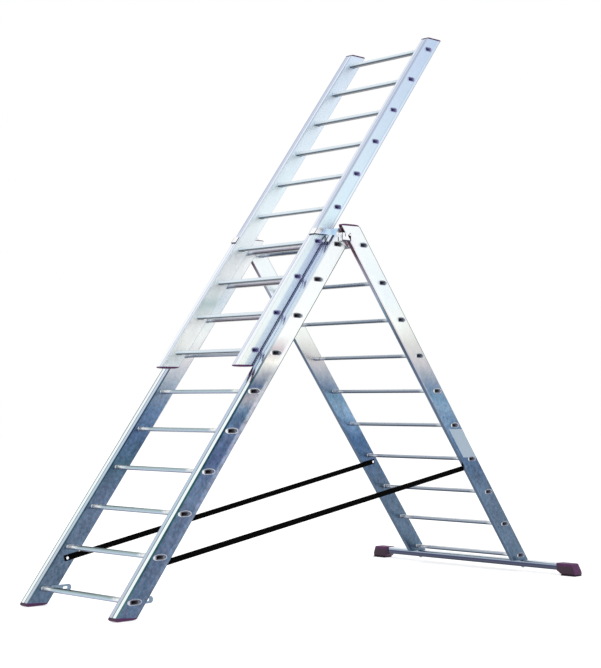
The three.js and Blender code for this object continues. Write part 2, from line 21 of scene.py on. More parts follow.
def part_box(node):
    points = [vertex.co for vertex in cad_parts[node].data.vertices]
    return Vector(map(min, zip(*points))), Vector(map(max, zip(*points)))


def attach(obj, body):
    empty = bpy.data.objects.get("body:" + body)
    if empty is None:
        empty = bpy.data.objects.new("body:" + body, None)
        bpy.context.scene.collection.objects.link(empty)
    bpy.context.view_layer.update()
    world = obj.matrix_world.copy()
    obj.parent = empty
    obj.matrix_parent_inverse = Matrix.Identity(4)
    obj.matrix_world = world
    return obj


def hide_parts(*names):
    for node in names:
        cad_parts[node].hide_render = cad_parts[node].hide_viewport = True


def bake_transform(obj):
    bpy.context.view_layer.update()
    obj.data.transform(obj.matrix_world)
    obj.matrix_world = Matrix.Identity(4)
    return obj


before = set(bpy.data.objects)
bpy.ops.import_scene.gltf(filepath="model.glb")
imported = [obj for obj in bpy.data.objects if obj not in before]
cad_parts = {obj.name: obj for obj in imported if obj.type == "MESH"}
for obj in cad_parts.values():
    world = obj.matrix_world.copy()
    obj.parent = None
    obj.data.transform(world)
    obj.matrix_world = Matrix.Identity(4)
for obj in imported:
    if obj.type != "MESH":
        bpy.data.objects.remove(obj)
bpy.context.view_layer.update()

log = logging.getLogger("ladder")

Points = NDArray[np.float64]
Colour = tuple[float, float, float]
Span = tuple[float, float]
Stops = dict[float, int]  # 0xRRGGBB by place along a ramp

FIT = 0.0003  # gap between pieces that touch
WELD = 2e-6  # points nearer than this are one point


class Side(Enum):
    """Side of the ladder, with the sign of its x."""

    LEFT = -1
    RIGHT = 1

    @property
    def word(self) -> str:
        """The side's name inside a node's name."""
        return self.name.lower()


class Body(Enum):
    """Moving bodies of the frame."""

    FRONT = "front_section"
    EXTENSION = "extension_section"
    REAR = "rear_section"


class Slot(Enum):
    """Material slots of the record."""

    EXTRUSION = "aluminium_extrusion"
    TUBE = "aluminium_tube"
    STEEL = "bright_steel"
    PLASTIC = "purple_plastic"
    WEBBING = "black_webbing"


def srgb(code: int) -> Colour:
    """Linear colour of a display colour, by the sRGB curve.

    Args:
        code: The colour as 0xRRGGBB.

    Returns:
        Its red, green and blue.
    """
    parts = (np.array([code >> 16, code >> 8, code]) & 255) / 255
    linear = np.where(parts <= 0.04045, parts / 12.92, ((parts + 0.055) / 1.055) ** 2.4)
    return tuple(linear.tolist())


# ---------------------------------------------------------------- shader maths
def arithmetic(name: str, swapped: bool = False) -> Callable[["Value", "Value | float"], "Value"]:
    """An arithmetic operator of Value.

    Args:
        name: The Math node's operation.
        swapped: Whether the value stands on the right.

    Returns:
        A method that adds the node.
    """

    def apply(value: "Value", other: "Value | float") -> "Value":
        """The Math node of both."""
        return value.graph.math(name, *((other, value) if swapped else (value, other)))

    return apply


class Value:
    """A shader socket, with arithmetic that adds Math nodes."""

    __add__, __radd__ = arithmetic("ADD"), arithmetic("ADD", swapped=True)
    __sub__, __rsub__ = arithmetic("SUBTRACT"), arithmetic("SUBTRACT", swapped=True)
    __mul__, __rmul__ = arithmetic("MULTIPLY"), arithmetic("MULTIPLY", swapped=True)
    __truediv__, __pow__ = arithmetic("DIVIDE"), arithmetic("POWER")

    def __init__(self, graph: "Graph", socket: bpy.types.NodeSocket | None) -> None:
        """Holds a socket of a graph."""
        self.graph = graph
        self.socket = socket

    def __abs__(self) -> "Value":
        """Its absolute value."""
        return self.graph.math("ABSOLUTE", self)

    def most(self, other: "Value") -> "Value":
        """The greater of the two."""
        return self.graph.math("MAXIMUM", self, other)

    def step(self, low: float, high: float) -> "Value":
        """Smooth step from 0 at `low` to 1 at `high`."""
        inputs = {"Value": self, "From Min": low, "From Max": high}
        return self.graph.node("ShaderNodeMapRange", {"interpolation_type": "SMOOTHSTEP"}, inputs)


class Graph:
    """Node tree of one material or of the world."""

    def __init__(self, tree: bpy.types.NodeTree) -> None:
        """Empties the tree."""
        self.tree = tree
        tree.nodes.clear()

    def node(
        self,
        kind: str,
        settings: dict[str, Any] | None = None,
        inputs: dict[str | int, Any] | None = None,
        output: str | int = 0,
    ) -> Value:
        """Adds a node.

        Args:
            kind: The node's type.
            settings: Properties that are set first; `stops` are a colour ramp's.
            inputs: Values or links of its sockets, by name or number.
            output: The socket that is returned.

        Returns:
            The output socket as a Value, which is empty on an output node.
        """
        node = self.tree.nodes.new(kind)
        for key, value in (settings or {}).items():
            if key == "stops":
                self._set_stops(node.color_ramp, value)
            else:
                setattr(node, key, value)
        for key, value in (inputs or {}).items():
            if isinstance(value, Value):
                self.tree.links.new(value.socket, node.inputs[key])
            else:
                node.inputs[key].default_value = value
        return Value(self, node.outputs[output] if node.outputs else None)

    def math(self, operation: str, *values: Value | float) -> Value:
        """A Math node of those values."""
        return self.node("ShaderNodeMath", {"operation": operation}, dict(enumerate(values)))

    def place(self, kind: str = "Object") -> Value:
        """Coordinates of that kind."""
        return self.node("ShaderNodeTexCoord", output=kind)

    def attribute(self, name: str, output: str = "Vector") -> Value:
        """An attribute of the mesh."""
        return self.node("ShaderNodeAttribute", {"attribute_name": name}, output=output)

    def parts(self, vector: Value) -> tuple[Value, Value, Value]:
        """The x, y and z of a vector."""
        outputs = self.node("ShaderNodeSeparateXYZ", inputs={0: vector}).socket.node.outputs
        return tuple(Value(self, outputs[axis]) for axis in range(3))

    def ramp(self, factor: Value, stops: Stops, low: float = 0.0, high: float = 1.0) -> Value:
        """Colour that runs through the stops while `factor` runs from `low` to `high`."""
        share = [((place - low) / (high - low), srgb(code)) for place, code in stops.items()]
        return self.node("ShaderNodeValToRGB", {"stops": share}, {0: (factor - low) / (high - low)})

    def mix(self, factor: Value | float, first: Any, second: Any, blend: str = "MIX") -> Value:
        """Mix of two colours.

        Args:
            factor: Share of the second one.
            first: A Value, or a colour.
            second: A Value, or a colour.
            blend: The node's blend type.

        Returns:
            The colour.
        """
        wanted = {0: factor}
        for key, colour in ((6, first), (7, second)):
            wanted[key] = colour if isinstance(colour, Value) else (*colour, 1.0)
        settings = {"data_type": "RGBA", "blend_type": blend, "clamp_result": True}
        return self.node("ShaderNodeMix", settings, wanted, output=2)

    def shaded(self, colour: Value, value: Value, warm: Value | float = 1.0) -> Value:
        """A colour times `value`, with its red times `warm` as well."""
        shade = self.node("ShaderNodeCombineColor", inputs={0: value * warm, 1: value, 2: value})
        return self.mix(1.0, colour, shade, "MULTIPLY")

    def noise(
        self, vector: Value, scale: Colour, detail: float = 2.0, roughness: float = 0.5
    ) -> Value:
        """Noise in a vector that is first stretched.

        Args:
            vector: The coordinates.
            scale: Their stretch, per axis.
            detail: Octaves.
            roughness: Weight of the fine octaves.

        Returns:
            Its value, from 0 to 1.
        """
        factors = {0: vector, 1: scale}
        stretched = self.node("ShaderNodeVectorMath", {"operation": "MULTIPLY"}, factors)
        inputs = {"Vector": stretched, "Scale": 1.0, "Detail": detail, "Roughness": roughness}
        return self.node("ShaderNodeTexNoise", inputs=inputs)

    def bump(self, height: Value, strength: float, distance: float) -> Value:
        """Normal of a fine relief."""
        inputs = {"Strength": strength, "Distance": distance, "Height": height}
        return self.node("ShaderNodeBump", inputs=inputs)

    @staticmethod
    def _set_stops(ramp: bpy.types.ColorRamp, stops: list[tuple[float, Colour]]) -> None:
        """Gives a colour ramp its stops.

        Args:
            ramp: The ramp.
            stops: Places from 0 to 1, each with its linear colour.
        """
        while len(ramp.elements) > 1:
            ramp.elements.remove(ramp.elements[-1])
        for number, (place, colour) in enumerate(stops):
            element = ramp.elements[0] if number == 0 else ramp.elements.new(place)
            element.position = place
            element.color = (*colour, 1.0)


def new_material(name: str, shader: Callable[[Graph], Value]) -> bpy.types.Material:
    """A material.

    Args:
        name: Its name.
        shader: Adds its shader to its tree.

    Returns:
        The material, with the shader on its output.
    """
    made = bpy.data.materials.new(name)
    made.use_nodes = True
    graph = Graph(made.node_tree)
    graph.node("ShaderNodeOutputMaterial", inputs={0: shader(graph)})
    return made


# ---------------------------------------------------------------- finishes
TOP = 3.2  # height at which the painted reflections that go by height end
MOTTLE_FADES = (0.9, 1.35)  # heights between which the webs' mottle, part of their painted reflection, grows weak
RUNGS_CHANGE = (1.1, 1.5)  # heights between which the rungs' painted shade and highlight near the ground give way to those high up
FRONT_SHADE_HEIGHTS = (0.061, 0.053)  # heights between which the painted shade on the boots' front sides grows dark, downwards


@dataclass(frozen=True)
class Band:
    """Lengthwise band of a stile: where it starts across the width, and its tones by height, which
    are painted reflection and shade.
    """

    start: float
    tones: Stops
    soft: float = 0.02


@dataclass(frozen=True)
class Look:
    """Painted reflections, shade and highlights of one section's stiles and rungs."""

    web: tuple[Band, ...]
    inner: tuple[Band, ...]  # web on the rungs' side
    face: tuple[Band, ...]
    rungs: tuple[Stops, Stops]  # painted shade to highlight, near the ground and high up, from the underside to the tread
    # painted shade and highlight on the rungs' ends inside the stiles, by height on the tube
    swaged: Stops
    dish: tuple[Stops, Stops]  # painted shade and painted highlight of the flared rim, by height
    bore: tuple[int, int]  # inside of a rung, plain and rubbed; it also fills the dish's mouth, painted dark for the shade in the hole
    web_roughness: float = 0.30
    face_roughness: float = 0.10


@dataclass(frozen=True)
class Finish:
    """A named finish. Each kind says what feeds the sockets of its Principled shader."""

    name: str

    def inputs(self, graph: Graph) -> dict[str, Any]:
        """Values and links of the shader's sockets, by name."""
        raise NotImplementedError

    def material(self) -> bpy.types.Material:
        """Builds the material."""
        kind = "ShaderNodeBsdfPrincipled"
        return new_material(self.name, lambda graph: graph.node(kind, inputs=self.inputs(graph)))


@dataclass(frozen=True)
class Extrusion(Finish):
    """Bright extrusion, with painted reflections and painted shade in bands along its webs and its
    face.

    It reads two attributes of the stiles: `facing`, the way the surface looks, and
    `spot`, where the point lies on the profile.
    """

    lean: float
    look: Look

    def inputs(self, graph: Graph) -> dict[str, Any]:
        """Bands of painted reflection and shade by place and height, with a mottle in the painted
        reflection that is strong low down on the webs.

        Args:
            graph: The material's tree.

        Returns:
            Values and links of the shader's sockets.
        """
        look, place = self.look, graph.place()
        _, across, over = graph.parts(graph.attribute("spot"))
        is_web = abs(graph.parts(graph.attribute("facing"))[0]).step(0.45, 0.75)
        turn = {"Vector": place, "Angle": -self.lean}
        along = graph.node("ShaderNodeVectorRotate", {"rotation_type": "X_AXIS"}, turn)
        clouds = graph.noise(along, (9.0, 5.0, 11.0), 3.0, 0.55) - 0.5
        speckle = graph.noise(along, (62.0, 46.0, 62.0), 3.0, 0.7) - 0.5
        tinge = graph.noise(along, (90.0, 70.0, 90.0)) - 0.5
        draw = graph.noise(along, (420.0, 2.0, 420.0)) - 0.5
        height = graph.parts(place)[2]
        wander, shifted = height + clouds * 0.07, across + clouds * 0.03
        webs = graph.mix(over.step(0.3, 0.7), *(
            self._banded(graph, shifted, wander, bands) for bands in (look.inner, look.web)
        ))
        low = 1.0 - height.step(*MOTTLE_FADES)
        value = 1.0 + speckle * (0.12 + 1.5 * low) + clouds * (0.06 + 0.9 * low)
        webs = graph.shaded(webs, value, 1.0 + tinge * (0.03 + 0.9 * low))
        faces = graph.shaded(self._banded(graph, over, height, look.face), 1.0 + draw * 0.05)
        rougher = look.web_roughness - look.face_roughness + speckle * 0.15
        return {
            "Base Color": graph.mix(is_web, faces, webs), "Metallic": 1.0,
            "Roughness": look.face_roughness + draw * 0.02 + is_web * rougher,
        }

    @staticmethod
    def _banded(graph: Graph, share: Value, height: Value, bands: tuple[Band, ...]) -> Value:
        """Colour of the bands, each laid over the one before it.

        Args:
            graph: The material's tree.
            share: Place across the bands, from 0 to 1.
            height: Height in metres.
            bands: The bands.

        Returns:
            The colour.
        """
        colour = graph.ramp(height, bands[0].tones, 0.0, TOP)
        for band in bands[1:]:
            edge = share.step(band.start - band.soft, band.start + band.soft)
            colour = graph.mix(edge, colour, graph.ramp(height, band.tones, 0.0, TOP))
        return colour


@dataclass(frozen=True)
class Swage:
    """Worked ends of a rung: a painted highlight inside the stiles, and a dish outside them with
    painted light and shade.
    """

    inner: float  # x of the stile's two webs
    outer: float
    look: Look
    starts: Span = (0.105, 0.060)  # short of the stile, where the painted highlight on the end begins


@dataclass(frozen=True)
class Tube(Finish):
    """Drawn tube, with painted shade and highlight by height on its own section.

    It reads the attribute `spot`: that height, from 0 to 1, then the place across
    and up the flared rim, each from -1 to 1.
    """

    tones: tuple[Stops, Stops]  # painted shade to highlight, near the ground and high up, from its underside to its top
    swage: Swage | None = None

    def inputs(self, graph: Graph) -> dict[str, Any]:
        """Painted shade and highlight by height, with fine lines along the tube, and painted light
        on its worked ends.

        Args:
            graph: The material's tree.

        Returns:
            Values and links of the shader's sockets.
        """
        place = graph.place()
        x, _, height = graph.parts(place)
        level, back, up = graph.parts(graph.attribute("spot"))
        draw = graph.noise(place, (3.0, 420.0, 420.0)) - 0.5
        # painted shade on the underside and painted highlight on the top, with tones for near the
        # ground and high up
        tones = (graph.ramp(level, stops, -0.2, 1.0) for stops in self.tones)
        plain = graph.mix(height.step(*RUNGS_CHANGE), *tones)
        colour, end = graph.shaded(plain, 1.0 + draw * 0.10), 0.0
        if self.swage:
            inner, outer, look = self.swage.inner, self.swage.outer, self.swage.look
            # painted highlight on each end inside the stile, broken by spots
            spots = graph.noise(place, (70.0, 90.0, 90.0)).step(0.35, 0.6)
            bright = abs(x).step(*(inner - short for short in self.swage.starts))
            end = bright * (0.45 + 0.55 * spots)
            colour = graph.mix(end, colour, graph.ramp(level, look.swaged))
            # painted light and shade on the dish outside the stile: lit to the front and below,
            # with a painted highlight round its edge
            rim = ((back * back + up * up) ** 0.5).step(0.78, 0.9)
            lit = (0.5 - back * 0.55 - up * 0.55).step(0.1, 0.9).most(rim * 0.7)
            dish = graph.mix(lit, *(graph.ramp(height, tones, 0.0, TOP) for tones in look.dish))
            colour = graph.mix(abs(x).step(outer - 0.001, outer), colour, dish)
        return {"Base Color": colour, "Metallic": 1.0 - end * 0.5, "Roughness": 0.30 + draw * 0.1}


@dataclass(frozen=True)
class Metal(Finish):
    """Bright metal, with painted shade that deepens as its surface looks down, and mottled.

    It reads two attributes: `facing`, the way the surface looks, and `paint`, a tint.
    """

    upward: Stops  # painted shade, from straight down, -1, to straight up, 1
    sideways: int  # faces that look along x

    def inputs(self, graph: Graph) -> dict[str, Any]:
        """Painted shade by the way the surface looks, times the mottle and the tint.

        Args:
            graph: The material's tree.

        Returns:
            Values and links of the shader's sockets.
        """
        place = graph.place()
        nx, _, nz = graph.parts(graph.attribute("facing"))
        clouds = graph.noise(place, (24.0,) * 3, 3.0, 0.6) - 0.5
        grain = graph.noise(place, (70.0,) * 3) - 0.5
        upright = abs(nx).step(0.5, 0.9)
        colour = graph.mix(upright, graph.ramp(nz, self.upward, -1.0, 1.0), srgb(self.sideways))
        colour = graph.shaded(colour, 1.0 + clouds * 0.2 + grain * 0.08)
        return {
            "Base Color": graph.mix(1.0, colour, graph.attribute("paint", "Color"), "MULTIPLY"),
            "Metallic": 1.0, "Roughness": 0.25 + grain * 0.1 + clouds * 0.1,
        }


@dataclass(frozen=True)
class Moulded(Finish):
    """Moulded plastic or rubber with a fine grain and slightly rubbed high spots."""

    colour: int
    rubbed: int
    roughness: float = 0.45
    grain: float = 900.0
    bump: float = 0.25
    specular: float = 0.25
    front_shade: int | None = None  # painted shade on low upright faces that look to the front, by `facing`

    def inputs(self, graph: Graph) -> dict[str, Any]:
        """Plain and rubbed colour, with any painted shade low on the front, and the grain as
        roughness and relief.

        Args:
            graph: The material's tree.

        Returns:
            Values and links of the shader's sockets.
        """
        place = graph.place()
        fine = graph.noise(place, (self.grain,) * 3)
        worn = graph.noise(place, (26.0,) * 3, 4.0, 0.65).step(0.5, 0.72)
        colour = graph.mix(worn, srgb(self.colour), srgb(self.rubbed))
        if self.front_shade is not None:
            front = (0.0 - graph.parts(graph.attribute("facing"))[1]).step(0.75, 0.95)
            low = graph.parts(place)[2].step(*FRONT_SHADE_HEIGHTS)
            colour = graph.mix(front * low, colour, srgb(self.front_shade))
        return {
            "Base Color": colour, "Specular IOR Level": self.specular,
            "Roughness": self.roughness + (fine - 0.5) * 0.12 + worn * 0.08,
            "Normal": graph.bump(fine, self.bump, 0.0003),
        }


@dataclass(frozen=True)
class Woven(Finish):
    """Flat webbing: warp cords that run along it, crossed by weft in each gap.

    It reads the piece's UV map, in widths and metres.
    """

    colour: int
    high: int
    cords: float = 11.0  # warp cords across the width
    picks: float = 500.0  # weft picks to a metre

    def inputs(self, graph: Graph) -> dict[str, Any]:
        """Colour and relief by height in the weave.

        Args:
            graph: The material's tree.

        Returns:
            Values and links of the shader's sockets.
        """
        across, along, _ = graph.parts(graph.place("UV"))
        warp = graph.math("SINE", across * (self.cords * math.pi))
        offset = graph.math("SIGN", warp) * (math.pi / 2)
        weft = graph.math("SINE", along * (self.picks * math.pi) + offset)
        relief = abs(warp) * 0.7 + abs(weft) * 0.3
        return {
            "Base Color": graph.mix(relief.step(0.55, 1.0), srgb(self.colour), srgb(self.high)),
            "Specular IOR Level": 0.04, "Roughness": 0.92 - relief * 0.12,
            "Normal": graph.bump(relief, 0.6, 0.0006),
        }


# painted reflections: the webs show dark ground low down, a pale horizon at a middle height, and
# sky above; CORNER is painted shade along the webs' front corner
FRONT_WEB = {
    0.0: 0x566780, 0.5: 0x5A6A84, 0.6: 0x627490, 0.74: 0x4E5F84, 0.86: 0x5C7090, 0.95: 0x5A7494,
    0.99: 0x6E86A0, 1.04: 0xAAA8B0, 1.1: 0x5A6E8C, 1.17: 0xB0B5BC, 1.24: 0xF7F6EE, 1.3: 0xCCC2C6,
    1.37: 0xFCFEFE, 1.95: 0xF4FAFD,
}
FRONT_BACK = {
    0.0: 0x5C6C84, 0.5: 0x6E7E98, 0.8: 0x8E9AB4, 1.0: 0xBABDC8, 1.17: 0xB8BABE, 1.24: 0xF5F7F4,
    1.3: 0xEEEEF2, 1.37: 0xF6FCFA, 1.95: 0xF0F6FA,
}
CORNER = {
    0.0: 0x56787E, 0.2: 0x2E5660, 0.6: 0x2E5A5E, 0.84: 0x143C52, 1.14: 0x3A5C66, 1.24: 0x788796,
    1.36: 0xD4DEE8, 1.95: 0xD8E2EE,
}
FRONT_INNER = {
    0.0: 0x586A80, 0.3: 0x5E7086, 0.54: 0x5E6E88, 0.69: 0x4A6478, 0.84: 0x526A8C, 0.99: 0x5E7696,
    1.14: 0xA0ACBA, 1.24: 0xD8D8DC, 1.4: 0xF8FCFA, 1.6: 0xD8E4EE, 1.75: 0xF2F6F8, 1.95: 0xF0F4F8,
}
EXTENSION_WEB = {
    1.2: 0xDCE8F0, 1.45: 0xDCEAF4, 1.65: 0xD4E4F2, 1.85: 0xD0DCEE, 2.05: 0xDCF1FB, 2.25: 0xDBEEF9,
    2.45: 0xD4E6F5, 2.8: 0xCEE0F2, 3.1: 0xC6D8F0,
}
EXTENSION_INNER = {
    1.2: 0xD8E2E8, 1.32: 0xF8FCFA, 1.48: 0xFCFEFE, 1.56: 0xC8DADC, 1.62: 0xECF4F6, 1.74: 0xF8FCFE,
    2.05: 0xF0FAFE, 2.35: 0xE6F4FC, 2.8: 0xE4F0FC, 3.1: 0xDAE8F8,
}
EXTENSION_FRONT = {
    1.2: 0xF4F8F2, 1.45: 0xF6FEFE, 1.7: 0xF0FBFD, 1.9: 0xE2F2F8, 2.05: 0xDFF2FB, 2.45: 0xD8E8F6,
    2.65: 0xD2E2F6, 3.1: 0xCAD9F0,
}
REAR_WEB = {
    0.0: 0x566A7E, 0.5: 0x5A6D84, 0.8: 0x4A678C, 0.9: 0x6E8CAC, 1.0: 0x7E9BB6, 1.05: 0x6E90AC,
    1.12: 0x7C8FA8, 1.19: 0xA2AAB6, 1.26: 0xC6C4C8, 1.36: 0xDEE0DC, 1.46: 0xF4F8F5, 1.6: 0xEEF8FC,
    1.95: 0xF6FCFE,
}
# painted shade and highlights: DARK_RIM is the dish's shaded part, BRIGHT_END the highlight on the
# rungs' ends, EXTENSION_TUBE and BAR_TONES run from a shaded underside to a lit top, and
# STEEL_TONES darken as the steel looks down
DARK_RIM = {0.0: 0x4C5C74, 0.7: 0x4A6080, 1.15: 0x5C6C80, 1.4: 0x76848E, 1.95: 0x98A4AC}
BRIGHT_END = {0.0: 0x626A80, 0.3: 0xA8B0C0, 0.45: 0xECF0F6, 0.6: 0xFAFCFC, 1.0: 0xFCFEFE}
EXTENSION_TUBE = {0.0: 0x3C4652, 0.12: 0x48525E, 0.26: 0x909CA6, 0.4: 0xDCE9F2, 1.0: 0xE4ECF2}
BAR_TONES = {
    -0.15: 0xB4C8D0, -0.03: 0x8A9AA6, 0.0: 0x5D616A, 0.14: 0x434957, 0.3: 0x53586B, 0.45: 0x4D4D65,
    0.6: 0x3C4059, 0.68: 0x9CABBE, 0.82: 0x8E9EAB, 0.9: 0xDBE4ED, 1.0: 0xE2E8F0,
}
STEEL_TONES = {-1.0: 0xA09CA8, -0.5: 0xB0AEBA, -0.15: 0xD0D2DA, -0.03: 0xFAFBFE, 1.0: 0xFCFDFE}
WHITE = (1.0, 1.0, 1.0)
PALE = (0.92, 1.0, 1.0)  # tints of the pressed fittings; PALE and SHADED stand for painted light and painted shade
SHADED = (0.72, 0.84, 0.98)
DULL = (0.20, 0.27, 0.34)
# dark tint; on the claw's outline and lower edge and on the strips under and across the channel it
# is painted shade
SLATE = (0.07, 0.08, 0.12)

# in every look the bands are painted reflection and shade, and the narrow dark bands are painted
# shade along corners, the groove and the gap between sections
LOOKS = {
    Body.FRONT: Look(
        web=(
            Band(0.0, {0.0: 0x3E4C66, 1.0: 0x8E98AC, 1.2: 0x5E7074, 1.4: 0x2A3C3C, 1.95: 0x2C3A3C}),
            Band(0.045, FRONT_BACK, 0.01),
            Band(0.24, FRONT_WEB, 0.06),
            Band(0.93, CORNER, 0.015),
        ),
        inner=(
            Band(0.0, {0.0: 0x3E4C66, 0.8: 0x566A88, 1.0: 0xB0B4C4, 1.3: 0xA8B2B4, 1.95: 0xC8D2D8}),
            Band(0.04, FRONT_INNER),
            Band(0.93, CORNER, 0.015),
        ),
        face=(
            Band(0.0, {0.0: 0x8C8EA4, 1.2: 0x8088A0, 1.3: 0xB0B8D4, 1.95: 0xB0B8D4}),
            Band(0.07, {
                0.0: 0xC0C8D6, 0.5: 0xB9CCDC, 1.2: 0xC2D0E4, 1.35: 0xF0F4FF, 1.95: 0xE8ECFC,
            }),
            Band(0.41, {0.0: 0x78808E, 1.2: 0x808A9C, 1.35: 0xB4BCD8, 1.95: 0xA8B0D0}),
            Band(0.5, {0.0: 0xF2FCFC, 0.9: 0xF6FFFF, 1.2: 0xF4FAFF, 1.95: 0xFAFCFF}),
            Band(0.88, CORNER),
        ),
        rungs=(
            {
                0.0: 0x70768C, 0.15: 0x858A9D, 0.3: 0xA6B2C4, 0.5: 0xAABCCA, 0.8: 0xA6BBC0,
                0.93: 0x94A6A6, 1.0: 0x869C9C,
            },
            {
                0.0: 0x241C24, 0.15: 0x4A4450, 0.32: 0x7A7480, 0.5: 0xCCC6D0, 0.8: 0xD8D6E0,
                1.0: 0xB8B8C4,
            },
        ),
        swaged=BRIGHT_END,
        dish=(DARK_RIM, {0.0: 0xC8CCDC, 0.6: 0xE4E8F0, 0.9: 0xFCFEFE, 1.95: 0xFAFCFC}),
        bore=(0x70707C, 0x7C7C86),
        face_roughness=0.2,
    ),
    Body.EXTENSION: Look(
        web=(
            Band(0.0, {1.2: 0xC8D0E6, 1.9: 0xCCD4E8, 1.98: 0xA8B4CC, 3.1: 0xA8B8D0}),
            Band(0.05, {
                1.2: 0xC8D0E6, 1.9: 0xCCD4E8, 2.0: 0xEEF8FE, 2.45: 0xE4F0FC, 3.1: 0xCEDEF2,
            }),
            Band(0.18, {
                1.2: 0x606C88, 1.6: 0x4A5278, 1.88: 0x60688E, 1.96: 0xCADCE8, 3.1: 0xC2D2E8,
            }, 0.01),
            Band(0.245, EXTENSION_WEB, 0.02),
            Band(0.64, EXTENSION_FRONT, 0.05),
            Band(0.94, {1.2: 0xE8F2F2, 1.9: 0xE0EAF0, 2.05: 0xC0CCD8, 3.1: 0xB4C2D4}),
        ),
        inner=(
            Band(0.0, {1.2: 0xC0CCD2, 2.0: 0xDCE8F0, 3.1: 0xB8C8E0}),
            Band(0.04, EXTENSION_INNER),
            Band(0.95, {1.2: 0xE8F2F2, 2.4: 0xDCE8F4, 2.65: 0xBACAE0, 3.1: 0xB8C8E0}),
        ),
        face=(
            Band(0.0, {1.2: 0xB4BCCA, 2.0: 0xC4C8D4, 3.1: 0xC0C8D8}),
            Band(0.08, {1.2: 0xE0E6F4, 2.0: 0xEAF0FC, 3.1: 0xE6EEFA}),
            Band(0.3, {1.2: 0xD7DFF2, 2.0: 0xD4DCEC, 3.1: 0xD0DAEA}),
            Band(0.41, {1.2: 0xB2B8C8, 1.9: 0xB6BECE, 2.0: 0xD0D8E8, 3.1: 0xCCD6E8}),
            Band(0.5, {1.2: 0xFAFCFE, 1.9: 0xF4FAFE, 2.0: 0xCED6E8, 3.1: 0xCAD4E8}),
            Band(0.76, {1.2: 0xFAFCFC, 1.9: 0xE4ECF6, 2.0: 0xAEBAD0, 3.1: 0xA8B6CE}),
        ),
        rungs=(
            {0.0: 0x34383F, 0.14: 0x40444F, 0.32: 0x98A0AC, 0.5: 0xDCE9F2, 1.0: 0xD0DAE4},
            EXTENSION_TUBE,
        ),
        swaged=EXTENSION_TUBE,
        dish=(
            {1.2: 0xC0CCD6, 2.0: 0xC8D8E6, 3.1: 0xB8C8E0},
            {1.2: 0xE8F2F0, 2.0: 0xF0FAFE, 3.1: 0xE2EEFA},
        ),
        bore=(0x9C9CCC, 0xA8A8D4),
        web_roughness=0.5,
    ),
    Body.REAR: Look(
        web=(
            Band(0.0, {0.0: 0x3E4E66, 1.2: 0x7E8A9A, 1.4: 0x6E7A7E, 1.95: 0x667074}),
            Band(0.04, REAR_WEB),
            Band(0.92, {
                0.0: 0x64788E, 0.8: 0x55708E, 1.0: 0x8C9FB6, 1.25: 0xB4B4C0, 1.5: 0xE4E0E2,
                1.95: 0xE8ECF2,
            }),
        ),
        inner=(
            Band(0.0, {0.0: 0x4A5A74, 1.2: 0x98A4B4, 1.4: 0xB8C4C8, 1.95: 0xB8C4CC}),
            Band(0.04, REAR_WEB),
        ),
        face=(
            Band(0.0, {
                0.0: 0x485A6E, 0.8: 0x50667C, 1.2: 0x566C84, 1.45: 0x587484, 1.6: 0x7E92A4,
                1.76: 0x9890A4, 1.83: 0x5A4450,
            }),
            Band(0.3, {
                0.0: 0x495A6E, 1.2: 0x52627A, 1.35: 0x4A5060, 1.5: 0x647A8C, 1.6: 0x8A96A8,
                1.76: 0x7A7484, 1.83: 0x4A3440,
            }),
            Band(0.82, {
                0.0: 0x5A6E88, 1.2: 0x66707E, 1.45: 0x2E323E, 1.6: 0x5C646C, 1.76: 0x605A64,
                1.83: 0x3C2A34,
            }),
        ),
        rungs=(
            {0.0: 0x28303C, 0.22: 0x374454, 0.42: 0x727B8A, 0.65: 0xA0AAB8, 1.0: 0xCCD2DA},
            {0.0: 0x28303C, 0.22: 0x3A4656, 0.42: 0x7E8896, 0.65: 0xA4AEBC, 1.0: 0xCCD4DC},
        ),
        swaged=BRIGHT_END,
        dish=(DARK_RIM, {0.0: 0xC0C8D6, 0.6: 0xD4DCE6, 1.0: 0xF0F4F4, 1.95: 0xEEF6FA}),
        bore=(0x84889A, 0x8C92A0),
        face_roughness=0.3,
    ),
}


class Finishes:
    """The ladder's materials, each built once."""

    def __init__(self, sections: list["Section"]) -> None:
        """Builds them.

        Args:
            sections: The sections, for their lean and their webs.
        """
        self.stile, self.rung, self.bore = {}, {}, {}
        for section in sections:
            body, look = section.body, LOOKS[section.body]
            swage = Swage(section.inner, section.outer, look)
            stile = Extrusion(f"{section.prefix}_extrusion", section.lean, look)
            bore = Moulded(f"{body.value}_bore", *look.bore, 0.5, 200.0, 0.1, 0.3)
            self.stile[body], self.bore[body] = stile.material(), bore.material()
            self.rung[body] = Tube(f"{body.value}_tube", look.rungs, swage).material()
        self.bar = Tube("stabiliser_tube", (BAR_TONES, BAR_TONES)).material()
        self.steel = Metal("zinc_plated_steel", STEEL_TONES, 0xF8F9FD).material()
        boots = Moulded("burgundy_plastic", 0x5A2C5C, 0x6A386A, front_shade=0x43303F)
        self.plastic = boots.material()
        self.rubber = Moulded("black_rubber", 0x18161B, 0x282529, 0.7, 500.0, 0.5).material()
        self.webbing = Woven("black_webbing", 0x020202, 0x060607).material()
        self.label = Moulded("blank_label", 0xC0D4E6, 0xCAD8E8, 0.28, 300.0, 0.08).material()


# ---------------------------------------------------------------- surfaces
def read(items: Any, name: str, width: int = 1, kind: type = np.float32) -> NDArray[Any]:
    """A property of every item of a mesh's collection.

    Args:
        items: Its vertices, corners or faces.
        name: The property.
        width: Numbers to an item.
        kind: Their type.

    Returns:
        Rows of `width`.
    """
    flat = np.empty(len(items) * width, kind)
    items.foreach_get(name, flat)
    return flat.reshape(-1, width)


def vertices(node: str) -> Points:
    """The points of a frame solid, as rows of x, y and z."""
    return read(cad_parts[node].data.vertices, "co", 3).astype(np.float64)


